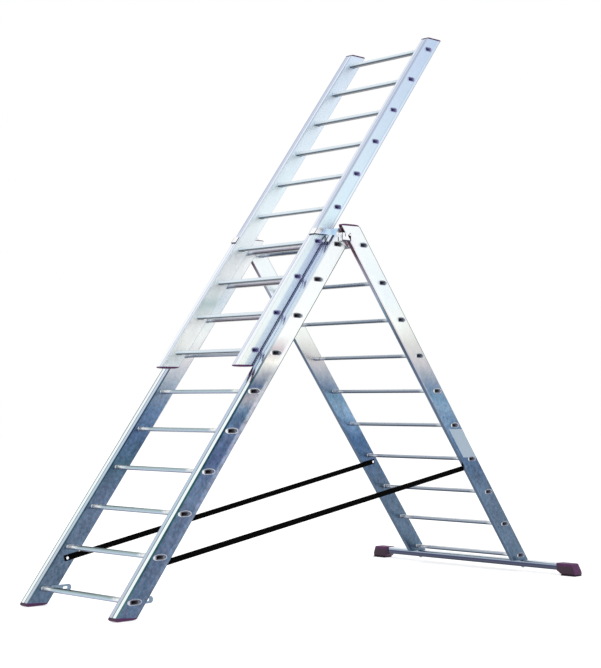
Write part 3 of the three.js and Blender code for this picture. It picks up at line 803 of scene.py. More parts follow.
def link(name: str, data: bpy.types.ID) -> bpy.types.Object:
    """Puts an object in the scene.

    Args:
        name: Its name.
        data: Its mesh, lamp or camera.

    Returns:
        The object.
    """
    made = bpy.data.objects.new(name, data)
    bpy.context.scene.collection.objects.link(made)
    return made


def circle(points: int) -> Points:
    """Points round the unit circle."""
    turn = np.linspace(0, 2 * math.pi, points, endpoint=False)
    return np.stack([np.cos(turn), np.sin(turn)], -1)


def standing(x: float, loop: Points) -> Points:
    """A loop of y and z, at that x."""
    return np.column_stack([np.full(len(loop), x), loop])


def power_mean(turn: Points, a: float, b: float, power: float) -> Points:
    """Points on a superellipse, whose radius is the power mean of its half sizes.

    Args:
        turn: Their angles.
        a: Half width.
        b: Half height.
        power: 2 for an ellipse, and more for a squarer outline.

    Returns:
        Rows of two.
    """
    x, y = np.cos(turn), np.sin(turn)
    radius = ((np.abs(x) / a) ** power + (np.abs(y) / b) ** power) ** (-1 / power)
    return np.stack([radius * x, radius * y], -1)


def rounded_loop(width: float, height: float, radius: float, per: int = 4) -> Points:
    """Rounded rectangle about the origin.

    Args:
        width: Size along the first axis.
        height: Size along the second axis.
        radius: Corner radius.
        per: Points to a corner.

    Returns:
        Rows of two: quarter circles of `radius` about the four inset corners.
    """
    radius = min(radius, width / 2, height / 2)
    turn = (np.arange(4)[:, None] + np.linspace(0, 1, per)[None, :]) * (math.pi / 2)
    cx = (width / 2 - radius) * np.array([1, -1, -1, 1])[:, None]
    cy = (height / 2 - radius) * np.array([1, 1, -1, -1])[:, None]
    return np.stack([cx + radius * np.cos(turn), cy + radius * np.sin(turn)], -1).reshape(-1, 2)


def oval_loop(width: float, height: float, like: Points) -> Points:
    """Ellipse about the origin.

    Args:
        width: Size along the first axis.
        height: Size along the second axis.
        like: Rows of two, whose angles its points have.

    Returns:
        Rows of two.
    """
    span = np.ptp(like, axis=0)
    turn = np.arctan2(like[:, 1] / span[1], like[:, 0] / span[0])
    return np.stack([width / 2 * np.cos(turn), height / 2 * np.sin(turn)], -1)


class Skin:
    """Grids of points, gathered and welded into one closed surface."""

    def __init__(self) -> None:
        """Starts empty."""
        self.points: list[Points] = []
        self.faces: list[NDArray[np.int64]] = []
        self.paints: list[Points] = []
        self.slots: list[NDArray[np.int64]] = []
        self.count = 0

    def grid(
        self, loops: Any, closed: bool = True, ring: bool = False, paint: Colour = WHITE,
        slot: int = 0,
    ) -> None:
        """Adds a grid of quads.

        Args:
            loops: Rows by columns by xyz.
            closed: Whether each row closes on itself.
            ring: Joins the last row to the first.
            paint: Tint of its faces.
            slot: Material slot of its faces.
        """
        points = np.asarray(loops)
        rows, columns = points.shape[:2]
        index = np.arange(rows * columns).reshape(rows, columns) + self.count
        if ring:
            index = np.vstack([index, index[:1]])
        if closed:
            index = np.hstack([index, index[:, :1]])
        quads = np.stack([index[:-1, :-1], index[1:, :-1], index[1:, 1:], index[:-1, 1:]], -1)
        self.points.append(points.reshape(-1, 3))
        self.faces.append(quads.reshape(-1, 4))
        self.paints.append(np.tile((*paint, 1.0), (len(self.faces[-1]), 1)))
        self.slots.append(np.full(len(self.faces[-1]), slot))
        self.count += rows * columns

    def lid(self, loop: Points, paint: Colour = WHITE) -> None:
        """Closes a loop with a fan to its middle."""
        self.grid([loop, np.broadcast_to(loop.mean(0), loop.shape)], paint=paint)

    def tube(self, loops: Any, paint: Colour = WHITE) -> None:
        """A skin over the loops, with a lid on each end.

        Args:
            loops: Closed loops of xyz.
            paint: Tint of its faces.
        """
        self.grid(loops, paint=paint)
        self.lid(loops[0], paint)
        self.lid(loops[-1], paint)

    def build(
        self, name: str, *materials: bpy.types.Material, crease: float = 32.0,
        place: Callable[[Points], Points] | None = None,
    ) -> bpy.types.Object:
        """Makes the object.

        Args:
            name: The piece's name.
            materials: Materials by slot.
            crease: Angle in degrees past which an edge is sharp.
            place: Gives each point its `spot`, which is left out without it.

        Returns:
            A mesh object at the origin, with its place in its mesh.
        """
        mesh = bpy.data.meshes.new(name)
        mesh.from_pydata(np.vstack(self.points), [], np.vstack(self.faces).tolist())
        for material in materials:
            mesh.materials.append(material)
        mesh.polygons.foreach_set("material_index", np.concatenate(self.slots).astype(np.int32))
        tint = mesh.attributes.new("tint", "FLOAT_COLOR", "FACE")
        tint.data.foreach_set("color", np.vstack(self.paints).astype(np.float32).ravel())
        shape = bmesh.new()
        shape.from_mesh(mesh)
        bmesh.ops.remove_doubles(shape, verts=shape.verts, dist=WELD)
        bmesh.ops.dissolve_degenerate(shape, dist=WELD, edges=shape.edges)
        bmesh.ops.recalc_face_normals(shape, faces=shape.faces)
        shape.to_mesh(mesh)
        shape.free()
        mesh.shade_smooth()
        mesh.set_sharp_from_angle(angle=math.radians(crease))
        self._dress(mesh, place)
        return link(name, mesh)

    @staticmethod
    def _dress(mesh: bpy.types.Mesh, place: Callable[[Points], Points] | None) -> None:
        """Writes the attributes that the finishes read: `paint`, `facing` and `spot`.

        Args:
            mesh: The mesh, with each face's `tint`, which goes.
            place: Gives each point its `spot`.
        """
        colours = read(mesh.attributes["tint"].data, "color", 4)
        sizes = read(mesh.polygons, "loop_total", kind=np.int32)[:, 0]
        mesh.attributes.remove(mesh.attributes["tint"])
        paint = mesh.color_attributes.new("paint", "FLOAT_COLOR", "CORNER")
        paint.data.foreach_set("color", np.repeat(colours, sizes, axis=0).ravel())
        facing = mesh.attributes.new("facing", "FLOAT_VECTOR", "CORNER")
        facing.data.foreach_set("vector", read(mesh.corner_normals, "vector", 3).ravel())
        if place:
            spots = place(read(mesh.vertices, "co", 3)).astype(np.float32)
            spot = mesh.attributes.new("spot", "FLOAT_VECTOR", "POINT")
            spot.data.foreach_set("vector", spots.ravel())


def keep(piece: bpy.types.Object, body: Body, slot: Slot, *nodes: str) -> None:
    """Hangs a piece on its body.

    Args:
        piece: The piece.
        body: The body that it moves with.
        slot: Its material slot; not used.
        nodes: The solids that it stands for.
    """
    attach(piece, body.value)
    if nodes:
        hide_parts(*nodes)
    log.info("%s: %d faces", piece.name, len(piece.data.polygons))


# ---------------------------------------------------------------- sections
@dataclass(frozen=True)
class Section:
    """One ladder section's own frame and outline, measured on its solids."""

    prefix: str
    body: Body
    origin: Points
    along: Points
    out: Points
    pitch: float
    inner: float
    outer: float
    back: float
    front: float
    ends: tuple[Span, Span]  # y at z = 0, and its fall with z
    rung: Span  # depth and height of the tube
    rim: Span
    pin: tuple[float, float, float] | None = None  # y, z and radius of the hinge pin's hole

    RUNGS = 10
    PIN_HOLE = 0.0083

    @classmethod
    def measured(cls, body: Body) -> "Section":
        """Measures a section.

        Args:
            body: The body that it moves with.

        Returns:
            The section, with its frame through the middle of rung 1.
        """
        prefix = body.value.removesuffix("_section")
        low, high = (np.mean(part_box(f"{prefix}_rung_{n:02d}"), axis=0) for n in (1, cls.RUNGS))
        length = float(np.linalg.norm(high - low))
        along = (high - low) / length
        out = np.array([0.0, -along[2], along[1]])
        points = vertices(f"{prefix}_stile_right")
        y, z = (points - low) @ along, (points - low) @ out
        inner, outer = points[:, 0].min(), points[:, 0].max()
        back, front = z.min(), z.max()
        ends = []
        for pick in (np.min, np.max):
            at_back, at_front = pick(y[z < back + 1e-4]), pick(y[z > front - 1e-4])
            fall = (at_back - at_front) / (front - back)
            ends.append((float(at_back + back * fall), float(fall)))
        tube = vertices(f"{prefix}_rung_01")
        reach = np.abs(tube[:, 0])
        parts = reach < inner - 0.006, reach > outer  # clear of the bead, and outside the stile
        rung, rim = (np.ptp(tube[part], axis=0)[1:] for part in parts)
        pin = None
        if body is not Body.EXTENSION:
            shank = vertices("hinge_pin_right")
            shank = shank[shank[:, 0] < inner] if body is Body.FRONT else shank
            centre = (shank.min(0) + shank.max(0)) / 2 - low
            pin = (float(centre @ along), float(centre @ out), cls.PIN_HOLE)
        return cls(
            prefix, body, low, along, out, length / (cls.RUNGS - 1), float(inner), float(outer),
            float(back), float(front), tuple(ends), tuple(rung), tuple(rim), pin,
        )

    @property
    def lean(self) -> float:
        """Angle of its stiles from the horizontal, about x."""
        return math.atan2(self.along[2], self.along[1])

    def world(self, x: Any, y: Any, z: Any) -> Points:
        """Points of the section's frame: x across, y along the stiles, z out of its face."""
        x, y, z = (part[..., None] for part in np.broadcast_arrays(x, y, z))
        return self.origin + x * (1.0, 0.0, 0.0) + y * self.along + z * self.out

    def local(self, points: Points) -> Points:
        """The section's own x, y and z of points in the world."""
        from_origin = points - self.origin
        return np.stack([points[:, 0], from_origin @ self.along, from_origin @ self.out], -1)

    def level(self, x: float, y: float, loop: Points) -> Points:
        """A loop of level (depth, height) pairs about the point (x, y, 0)."""
        return self.world(x, y, 0.0) + standing(0.0, loop)

    def spot(self, points: Points) -> Points:
        """Where points lie on the stile.

        Args:
            points: Rows of x, y and z in the world.

        Returns:
            Pitches up it, share across its web from the back, and share of its face.
        """
        x, y, z = self.local(points).T
        return np.stack([
            y / self.pitch, (z - self.back) / (self.front - self.back),
            (np.abs(x) - self.inner) / (self.outer - self.inner),
        ], -1)


@dataclass(frozen=True)
class Stile:
    """Box stile: webs with level holes, a strip and a groove along its face, square ends.

    It is made of cells, one to each hole, that run from seam to seam.
    """

    section: Section
    side: Side
    finish: bpy.types.Material
    wall: float = 0.0022
    edge: float = 0.0016
    groove: tuple[float, float, float] = (0.457, 0.0034, 0.0014)  # place, width, depth
    lip: float = 0.0008  # slope beside the groove
    across: int = 8  # spans across a web
    run: int = 14  # spans along each cell

    def build(self) -> None:
        """Builds the stile and hangs it on its section."""
        section, sign, skin = self.section, self.side.value, Skin()
        ends = [self._wall(skin, inset) for inset in (0.0, self.wall)]
        for cell in range(len(self._holes())):
            for x, inside in ((section.inner, self.wall), (section.outer, -self.wall)):
                rims = ((0.0, x), (self.wall, x + inside))
                skin.grid([self._hole(cell, inset, sign * at) for inset, at in rims])
        for pair in zip(*ends):
            skin.grid(pair)
        name = f"{section.prefix}_stile_{self.side.word}"
        piece = skin.build(f"{name}_extrusion", self.finish, place=section.spot)
        keep(piece, section.body, Slot.EXTRUSION, name)

    def _holes(self) -> list[tuple[float, float, tuple[float, float, float]]]:
        """Each cell's hole: its y, its z, and its half width, half height and power."""
        s = self.section
        depth, height = (size / 2 + FIT for size in s.rung)
        holes = [(n * s.pitch, 0.0, (depth, height, 5.0)) for n in range(Section.RUNGS)]
        if s.pin:
            y, z, radius = s.pin
            holes.append((y, z, (radius, radius, 2.0)))
        return holes

    def _rails(self, inset: float) -> tuple[Points, Points]:
        """The profile's runs across the back and the front, between the flat webs.

        Args:
            inset: How far in from the outline.

        Returns:
            The back run and the front run, as rows of x and z.
        """
        s = self.section
        r = self.edge if inset == 0 else self.edge / 2
        x0, x1 = s.inner + inset, s.outer - inset
        z0, z1 = s.back + inset, s.front - inset
        quarter = np.linspace(0, math.pi / 2, 4)

        def corner(cx: float, cz: float, start: float) -> Points:
            """Quarter circle about that centre."""
            turn = start + quarter[::-1]
            return np.stack([cx + r * np.cos(turn), cz + r * np.sin(turn)], -1)

        middle = np.linspace(x1 - r, x0 + r, 6)[1:-1]
        back = np.vstack([
            corner(x1 - r, z0 + r, -math.pi / 2), np.stack([middle, np.full(4, z0)], -1),
            corner(x0 + r, z0 + r, math.pi),
        ])
        place, width, depth = self.groove
        depth = depth if inset == 0 and s.body is not Body.REAR else 0.0
        at, half = s.inner + place * (s.outer - s.inner), width / 2
        steps = ((-half - self.lip, 0.0), (-half, 0.25), (-half * 0.6, 1.0))
        face = [(at + x, z1 - depth * share) for x, share in steps]
        face += [(at - x, z1 - depth * share) for x, share in steps[::-1]]
        front = np.vstack([corner(x0 + r, z1 - r, math.pi / 2), face, corner(x1 - r, z1 - r, 0.0)])
        return back, front

    def _seam(self, number: int, z: Points) -> Points:
        """Where a cell starts: between two holes, or at the stile's end.

        Args:
            number: The cell, counted from the bottom.
            z: Places out of the face.

        Returns:
            The y at each z.
        """
        holes = self._holes()
        if number in (0, len(holes)):
            at, fall = self.section.ends[min(number, 1)]
            return at - z * fall
        low, high = holes[number - 1][0], holes[number][0]
        share = 0.5 if number < Section.RUNGS else 0.62  # the pin's cell is short
        return np.full(z.shape, low + (high - low) * share)

    def _row(self, share: Any, cell: int, z: Points) -> Points:
        """The y of points: `share` of the way up a cell, at each z."""
        return (1 - share) * self._seam(cell, z) + share * self._seam(cell + 1, z)

    def _hole(self, cell: int, inset: float, x: float) -> Points:
        """A hole's edge.

        Args:
            cell: Its cell.
            inset: The skin's inset, for its border.
            x: Where the skin stands.

        Returns:
            One point for each point of the cell's border, at the same angle.
        """
        y, z, shape = self._holes()[cell]
        centre = self.section.world(x, y, z)
        towards = self._border(cell, inset, x) - centre
        return centre + standing(0.0, power_mean(np.arctan2(towards[:, 2], towards[:, 1]), *shape))

    def _border(self, cell: int, inset: float, x: float) -> Points:
        """A cell's border.

        Args:
            cell: The cell.
            inset: How far in from the outline.
            x: Where the skin stands.

        Returns:
            Points round it from its lower back corner.
        """
        back, front = self._rails(inset)
        z = np.linspace(back[0][1], front[-1][1], self.across + 1)
        up = np.linspace(0, 1, self.run + 1)
        low, high = np.zeros(self.across), np.ones(self.across)
        share = np.concatenate([low, up[:-1], high, up[:0:-1]])
        z = np.concatenate([z[:-1], np.full(self.run, z[-1]), z[:0:-1], np.full(self.run, z[0])])
        return self.section.world(x, self._row(share, cell, z), z)

    def _wall(self, skin: Skin, inset: float) -> list[Points]:
        """Adds the outer skin, or the bore's skin `inset` within it.

        Args:
            skin: The stile's surface so far.
            inset: How far in from the outline.

        Returns:
            The skin's loop at the bottom end and at the top end.
        """
        s, sign, cells = self.section, self.side.value, len(self._holes())
        rails = self._rails(inset)
        share = np.linspace(0, 1, self.run + 1)
        for rail in rails:
            x, z = rail.T
            rows = [self._row(t, cell, z) for cell in range(cells) for t in share[min(cell, 1):]]
            skin.grid(s.world(sign * x, np.array(rows), z), closed=False)
        for x in (s.inner + inset, s.outer - inset):
            for cell in range(cells):
                skin.grid([self._border(cell, inset, sign * x), self._hole(cell, inset, sign * x)])
        z = np.linspace(rails[0][0][1], rails[1][-1][1], self.across + 1)[1:-1]
        x, z = np.vstack([
            rails[0], np.stack([np.full(z.shape, s.inner + inset), z], -1),
            rails[1], np.stack([np.full(z.shape, s.outer - inset), z[::-1]], -1),
        ]).T
        ends = (self._row(0.0, 0, z), self._row(1.0, cells - 1, z))
        return [s.world(sign * x, y, z) for y in ends]


@dataclass(frozen=True)
class Rung:
    """Level-tread tube, beaded inside the stiles and flared into a dish outside them."""

    section: Section
    number: int
    finish: bpy.types.Material
    bore: bpy.types.Material
    wall: float = 0.002
    corner: float = 0.007
    bead: float = 0.0016
    proud: float = 0.0022
    rib: float = 0.0007
    ribs: int = 8
    ribs_end: Span = (0.058, 0.046)  # short of the stile
    tuck: float = 0.003  # how far the mouth reaches in from the stile's web

    OPENING = {Body.FRONT: 0.24, Body.EXTENSION: 0.56, Body.REAR: 0.24}  # share of the dish that takes the dark bore finish, a painted shadow that makes the hole look wider
    # places short of the stile, each with its share of the bead
    BEADING = ((0.0062, 0.0), (0.0052, 0.55), (0.0036, 1.0), (0.0018, 1.0), (FIT, 0.7), (FIT, 0.0))
    LIP = ((0.75, 0.985), (1.0, 0.94), (0.97, 0.88))  # share of `proud`, and of the dish's width

    def build(self) -> None:
        """Builds the rung and hangs it on its section."""
        s = self.section
        depth, height = s.rung
        rim_depth, rim_height = s.rim
        ribbed = self._tread(depth, height, self.corner, self.rib)
        plain = self._tread(depth, height, self.corner)
        inside = self._tread(depth - 2 * self.wall, height - 2 * self.wall, self.corner - self.wall)
        root, opening = s.outer + FIT, self.OPENING[s.body]
        wider = np.array(s.rim) / s.rung - 1

        def beaded(share: float) -> Points:
            """The tube swollen by a share of the bead."""
            grow = 2 * self.bead * share
            return self._tread(depth + grow, height + grow, self.corner + grow / 2)

        def dish(share: float) -> Points:
            """The rim's outline, at a share of the way out from the tube."""
            narrow, wide = np.array(s.rung) + 0.001, np.array(s.rim)
            return oval_loop(*(narrow + share * (wide - narrow)), plain)

        outside = [
            *((x, ribbed) for x in (0.0, s.inner - self.ribs_end[0])),
            (s.inner - self.ribs_end[1], plain),
            *((s.inner - short, beaded(share)) for short, share in self.BEADING),
            (root, plain), (root, dish(0.97)), (root + 0.0006, dish(1.0)),
            *((root + self.proud * up, dish(share)) for up, share in self.LIP),
            (root + self.proud * opening, plain * (1 + opening * wider)),
        ]
        mouth = [outside[-1], (root + self.proud * 0.08, inside), (root - self.tuck, inside)]
        skin, centre = Skin(), self.number * s.pitch
        for sign in (-1, 1):
            for slot, run in enumerate((outside, mouth)):
                skin.grid([s.level(sign * x, centre, loop) for x, loop in run], slot=slot)
        skin.grid([s.level(sign * mouth[-1][0], centre, inside) for sign in (-1, 1)], slot=1)
        middle = s.world(0.0, centre, 0.0)

        def spot(points: Points) -> Points:
            """Height on the tube, and the place across and up the rim."""
            _, back, up = (points - middle).T
            return np.stack([up / height + 0.5, back / (rim_depth / 2), up / (rim_height / 2)], -1)

        name = f"{s.prefix}_rung_{self.number + 1:02d}"
        piece = skin.build(f"{name}_tube", self.finish, self.bore, crease=40.0, place=spot)
        keep(piece, s.body, Slot.TUBE, name)

    def _tread(self, depth: float, height: float, radius: float, rib: float = 0.0) -> Points:
        """Section of the tube: a rounded rectangle whose top is `ribs` cosine waves.

        Args:
            depth: Its size across the stile's web.
            height: Its height.
            radius: Its corners' radius.
            rib: Depth of the waves.

        Returns:
            Rows of depth and height.
        """
        loop = rounded_loop(depth, height, radius, 5)
        share = np.linspace(0, 1, 4 * self.ribs + 1)[1:-1]
        top = loop[4] + share[:, None] * (loop[5] - loop[4])
        top[:, 1] -= rib * (0.5 - 0.5 * np.cos(2 * math.pi * self.ribs * share))
        return np.vstack([loop[:5], top, loop[5:]])


@dataclass(frozen=True)
class EndCap:
    """Moulded cap on a stile's end: a lens that is thickest halfway across the web."""

    section: Section
    side: Side
    node: str
    finish: bpy.types.Material
    top: bool = True
    sole: bool = False  # a foot, whose sole lies level on the floor
    power: float = 2.5
    flange: float = 0.0018

    RINGS = (1.0, 0.985, 0.95, 0.9, 0.82, 0.7, 0.55, 0.38, 0.2)  # shares of the outline

    def build(self) -> None:
        """Builds the cap and hangs it on its section.

        Its height over the cut end is (1 - |s|^p)^(1/p), with s from -1 to 1 across
        the web, and falls off close to the two webs.
        """
        s = self.section
        name = f"{self.node}_{self.side.word}"
        solid = s.local(vertices(name))
        solid[:, 0] = np.abs(solid[:, 0])
        low, high = solid.min(0)[[0, 2]], solid.max(0)[[0, 2]]
        middle, half = (low + high) / 2, (high - low) / 2
        (at, fall), way = s.ends[self.top], 1.0 if self.top else -1.0
        tilt = s.along[1] / s.along[2] - fall if self.sole else 0.0
        z = solid[:, 2]
        thick = float(np.max(way * (solid[:, 1] + z * fall - at) - z * tilt))
        edge = rounded_loop(*(high - low), 0.006, 7)
        rings = [(edge * share, np.full(len(edge), FIT)) for share in (0.9, 1.0)]
        for ring in (edge * share for share in self.RINGS):
            beside, across = (np.abs(ring) / half).T
            dome = np.maximum(1 - across ** self.power, 0) ** (1 / self.power)
            dome = dome * np.maximum(1 - beside ** 14, 0) ** 0.35
            over = thick + (ring[:, 1] + middle[1]) * tilt - self.flange
            rings.append((ring, self.flange + over * np.minimum(dome * 1.02, 1.0)))
        loops = []
        for ring, height in rings:
            x, z = (ring + middle).T
            loops.append(s.world(self.side.value * x, at - z * fall + way * height, z))
        skin = Skin()
        skin.tube(loops)
        keep(skin.build(f"{name}_moulding", self.finish, crease=50.0), s.body, Slot.PLASTIC, name)


class Pressing:
    """Plates, studs and sheets in a section's frame, gathered into one piece."""

    def __init__(self, section: Section, side: Side, finish: bpy.types.Material) -> None:
        """Starts empty.

        Args:
            section: The section that the piece hangs on.
            side: Its side.
            finish: Its material.
        """
        self.section, self.side, self.finish = section, side, finish
        self.sign = side.value
        self.skin = Skin()

    def plate(
        self, x: Span, y: Span, z: Span, radius: float = 0.003, edge: float = 0.0006,
        paint: Colour = WHITE,
    ) -> None:
        """A plate with rounded corners and a small round on each edge.

        Args:
            x: Its span across the ladder; its corners are rounded in y and z.
            y: Its span along the stile.
            z: Its span out of the section's face.
            radius: Corner radius.
            edge: Round of its edges.
            paint: Tint of its faces.
        """
        loops = []
        for at, inset in ((x[0], edge), (x[0] + edge, 0.0), (x[1] - edge, 0.0), (x[1], edge)):
            width, height = (end - start - 2 * inset for start, end in (y, z))
            ring = rounded_loop(width, height, radius - inset, 5) + (sum(y) / 2, sum(z) / 2)
            loops.append(self.section.world(self.sign * at, ring[:, 0], ring[:, 1]))
        self.skin.tube(loops, paint=paint)

    def sheet(self, outline: Points, x: Span, side: Colour = WHITE, rim: Colour = WHITE) -> None:
        """A flat piece across x whose outline is given back and up from the hinge pin.

        Args:
            outline: Rows of back and up.
            x: Its span across the ladder.
            side: Tint of its two flat sides.
            rim: Tint of the faces round its outline.
        """
        pin = self.section.world(0.0, *self.section.pin[:2])
        loops = [standing(self.sign * at, outline + pin[1:]) for at in x]
        self.skin.grid(loops, paint=rim)
        self.skin.lid(loops[0], side)
        self.skin.lid(loops[1], side)

    def stud(self, y: float, z: float, profile: list[Span], paint: Colour = WHITE) -> None:
        """A body of revolution about an axis across the ladder.

        Args:
            y: The axis's place along the stile.
            z: The axis's place out of the face.
            profile: Pairs of x and radius, from one end to the other.
            paint: Tint of its faces.
        """
        x, radius = (column[:, None] for column in np.array(profile).T)
        cos, sin = circle(24).T
        loops = self.section.world(self.sign * x, y + radius * cos, z + radius * sin)
        self.skin.tube(loops, paint=paint)

    def keep(self, node: str, ending: str) -> None:
        """Makes the piece.

        Args:
            node: The solid that it stands for, without its side.
            ending: The end of its name.
        """
        name = f"{node}_{self.side.word}"
        piece = self.skin.build(f"{name}_{ending}", self.finish, crease=40.0)
        keep(piece, self.section.body, Slot.STEEL, name)


@dataclass(frozen=True)
class HingeSet:
    """Hinge and guide fittings of one side, from the pin to the claw round the extension.

    A plate's pair is its two ends, up the stile from the pin. The channel and its seam
    are measured back from the pin, and the fold catch back from the front's lowest rung.
    """

    front: Section
    rear: Section
    side: Side
    steel: bpy.types.Material
    sheet: float = 0.0022
    rivet: float = 0.006
    plate: Span = (-0.043, 0.023)
    face_plate: Span = (-0.089, -0.002)
    rear_plate: Span = (-0.063, 0.037)
    wing: float = 0.0644  # how far the brackets reach in from the rear stile
    claw: Span = (0.018, 0.055)  # level edges, over the pin
    fold: float = 0.034  # painted shade along the claw's lower edge
    shade: float = 0.006  # dark lower edge of the claw
    buffer: Span = (-0.022, 0.016)
    buffer_depth: float = 0.014
    channel: tuple[float, float, float] = (0.079, -0.014, 0.030)  # reach ahead, low, high
    channel_end: float = -0.012
    seam: Span = (-0.058, -0.053)
    pin_radius: tuple[float, float, float, float] = (0.0065, 0.008, 0.0115, 0.0108)
    catch: Span = (0.036, 0.160)
    catch_up: float = -0.005  # middle of the catch, over the rung's middle
    catch_radius: float = 0.017
    eye: tuple[float, float, float] = (0.122, 0.0148, 0.0068)  # place, half width, half height
    catch_rivet: float = 0.058

    def build(self) -> None:
        """Builds the bracket, the pin, the rear plate and the fold catch."""
        for make in (self._bracket, self._pin, self._rear_plate, self._catch):
            make()

    def _extent(self, node: str) -> tuple[Points, Points]:
        """Extent of a solid in the front section's frame, mirrored to the right.

        Args:
            node: Its name, without its side.

        Returns:
            Its low and its high corner.
        """
        points = self.front.local(vertices(f"{node}_{self.side.word}"))
        points[:, 0] = np.abs(points[:, 0])
        return points.min(0), points.max(0)

    def _across(self, low: float, high: float, z0: float, z1: float) -> Points:
        """Outline of a band with level edges that runs out from the face.

        Args:
            low: Height of its lower edge over the pin.
            high: Height of its upper edge.
            z0: Where it starts, out of the front section's face.
            z1: Where it ends.

        Returns:
            Rows of back and up from the pin.
        """
        z, up = np.array([(z0, low), (z0, high), (z1, high), (z1, low)]).T
        back = (up * self.front.along[1] - (z - self.front.pin[1])) / self.front.along[2]
        return np.stack([back, up], -1)

    @staticmethod
    def _band(back0: float, back1: float, low: float, high: float) -> Points:
        """Outline of an upright band, back and up from the pin."""
        return np.array([[back0, low], [back0, high], [back1, high], [back1, low]])

    def _bracket(self) -> None:
        """Plate beside the front stile, face plate, two buffers, and the claw with its lip."""
        s, t, made = self.front, self.sheet, Pressing(self.front, self.side, self.steel)
        low, high = self._extent("guide_bracket")
        face, out, reach = s.front + FIT, s.outer + FIT, high[2]
        web = self.rear.inner - self.wing
        y = s.pin[0]
        plate, face_plate = ((y + start, y + end) for start, end in (self.plate, self.face_plate))
        made.plate((out, out + t), plate, (low[2], face + t), radius=0.010)
        # the face plate is tinted as painted shade
        made.plate((web, out + t), face_plate, (face, face + t), radius=0.001, paint=SHADED)
        fold, hook = reach - self.fold, reach - t
        bottom, top = self.claw
        brink, side, lip = bottom + self.shade, (web, web + t), (low[0] + 0.012, web + t)
        middle = (face + fold) / 2
        # painted light and shade on the claw: pale, shaded and white zones along its sides, and
        # dark rims as a painted outline
        for z0, z1, tint in ((face, middle, PALE), (middle, fold, SHADED), (fold, reach, WHITE)):
            made.sheet(self._across(brink, top, z0, z1), side, tint, SLATE)
        made.sheet(self._across(brink, top, hook, reach), lip, SLATE, WHITE)
        # painted shade: a dark strip along the claw's lower edge, on its side and on its lip
        made.sheet(self._across(bottom, brink, face, reach), side, SLATE, SLATE)
        made.sheet(self._across(bottom, brink, hook, reach), lip, SLATE, SLATE)
        x0, x1, gap = web + 0.005, s.outer - 0.002, 0.006
        width = (x1 - x0 - gap) / 2
        for x in (x0, x1 - width):
            outline = self._across(*self.buffer, face, face + self.buffer_depth)
            made.sheet(outline, (x, x + width), SLATE)
        made.keep("guide_bracket", "pressing")

    def _pin(self) -> None:
        """Pin through both stiles, with a flat head."""
        made = Pressing(self.front, self.side, self.steel)
        start = self._extent("hinge_pin")[0][0]
        head = self.rear.outer + 2 * FIT + self.sheet
        tip, shank, wide, brim = self.pin_radius
        made.stud(*self.front.pin[:2], [
            (start, tip), (start + 0.0015, shank), (head, wide), (head + 0.0008, wide),
            (head + 0.0014, brim),
        ])
        made.keep("hinge_pin", "turned")

    def _rear_plate(self) -> None:
        """Plate and level channel on the rear stile, beside the pin, and two rivets."""
        s, t, made = self.rear, self.sheet, Pressing(self.rear, self.side, self.steel)
        x = s.outer + FIT
        y, z, _ = s.pin
        low, high = (y + end for end in self.rear_plate)
        made.plate((x, x + t), (low, high), (z - 0.014, s.front - 0.003), radius=0.008)
        ahead, bottom, top = self.channel
        made.sheet(self._band(-ahead, self.channel_end, bottom, top), (x, x + t))
        made.sheet(self._band(-ahead, t - ahead, bottom, top), (s.inner + FIT, x + t), SLATE)
        # painted shade: a dark strip under the channel, and a dark strip for the shade in the seam
        # across it
        hem = self._band(-ahead, self.channel_end, bottom, bottom + self.shade)
        for outline in (hem, self._band(*self.seam, 0.010, top - 0.004)):
            made.sheet(outline, (x, x + t + 0.0002), SLATE, SLATE)
        turn, proud = np.linspace(0, math.pi / 2, 5)[:-1], 0.0015
        dome = [(x + t + proud * math.sin(a), self.rivet * math.cos(a)) for a in turn]
        head = [(x + t - 0.001, self.rivet * 0.9), *dome, (x + t + proud, self.rivet * 0.12)]
        for at in (low + 2 * self.rivet, high - 1.4 * self.rivet):
            made.stud(at, z + 0.002, head)
        made.keep("hinge_plate", "pressing")

    def _catch(self) -> None:
        """Level plate with an eye on the inner web, and its rivet.

        Its outline is measured back and up from the section's origin.
        """
        s, made = self.front, Pressing(self.front, self.side, self.steel)
        x0, x1 = s.inner - FIT - 0.003, s.inner - FIT
        up, radius, (start, end) = self.catch_up, self.catch_radius, self.catch
        neck = start + (end - start) * 0.4
        turn = np.linspace(-math.pi / 2, math.pi / 2, 33)
        nose = (end - radius, up) + radius * np.stack([np.cos(turn), np.sin(turn)], -1)
        high, low = up + radius, up - radius
        outline = np.vstack([nose, [[neck, high], [start, high], [start, low], [neck, low]]])
        centre = np.array([self.eye[0], up])
        away = outline - centre
        eye = centre + power_mean(np.arctan2(away[:, 1], away[:, 0]), *self.eye[1:], 3)
        edge = 0.0006
        inset = outline - away / np.linalg.norm(away, axis=1, keepdims=True) * edge
        loops = [(x0, eye), (x0, inset), (x0 + edge, outline)]
        loops += [(x1 - edge, outline), (x1, inset), (x1, eye)]
        rows = [standing(made.sign * x, s.origin[1:] + loop) for x, loop in loops]
        made.skin.grid(rows, ring=True, paint=DULL)
        rivet = s.local(s.origin + np.array([[0.0, self.catch_rivet, up]]))[0]
        head = ((-0.0028, 0.003), (-0.0025, 0.0085), (-0.001, 0.0108), (0.001, 0.0108))
        made.stud(*rivet[1:], [(x0 + x, radius) for x, radius in head], DULL)
        made.keep("fold_catch", "eye")


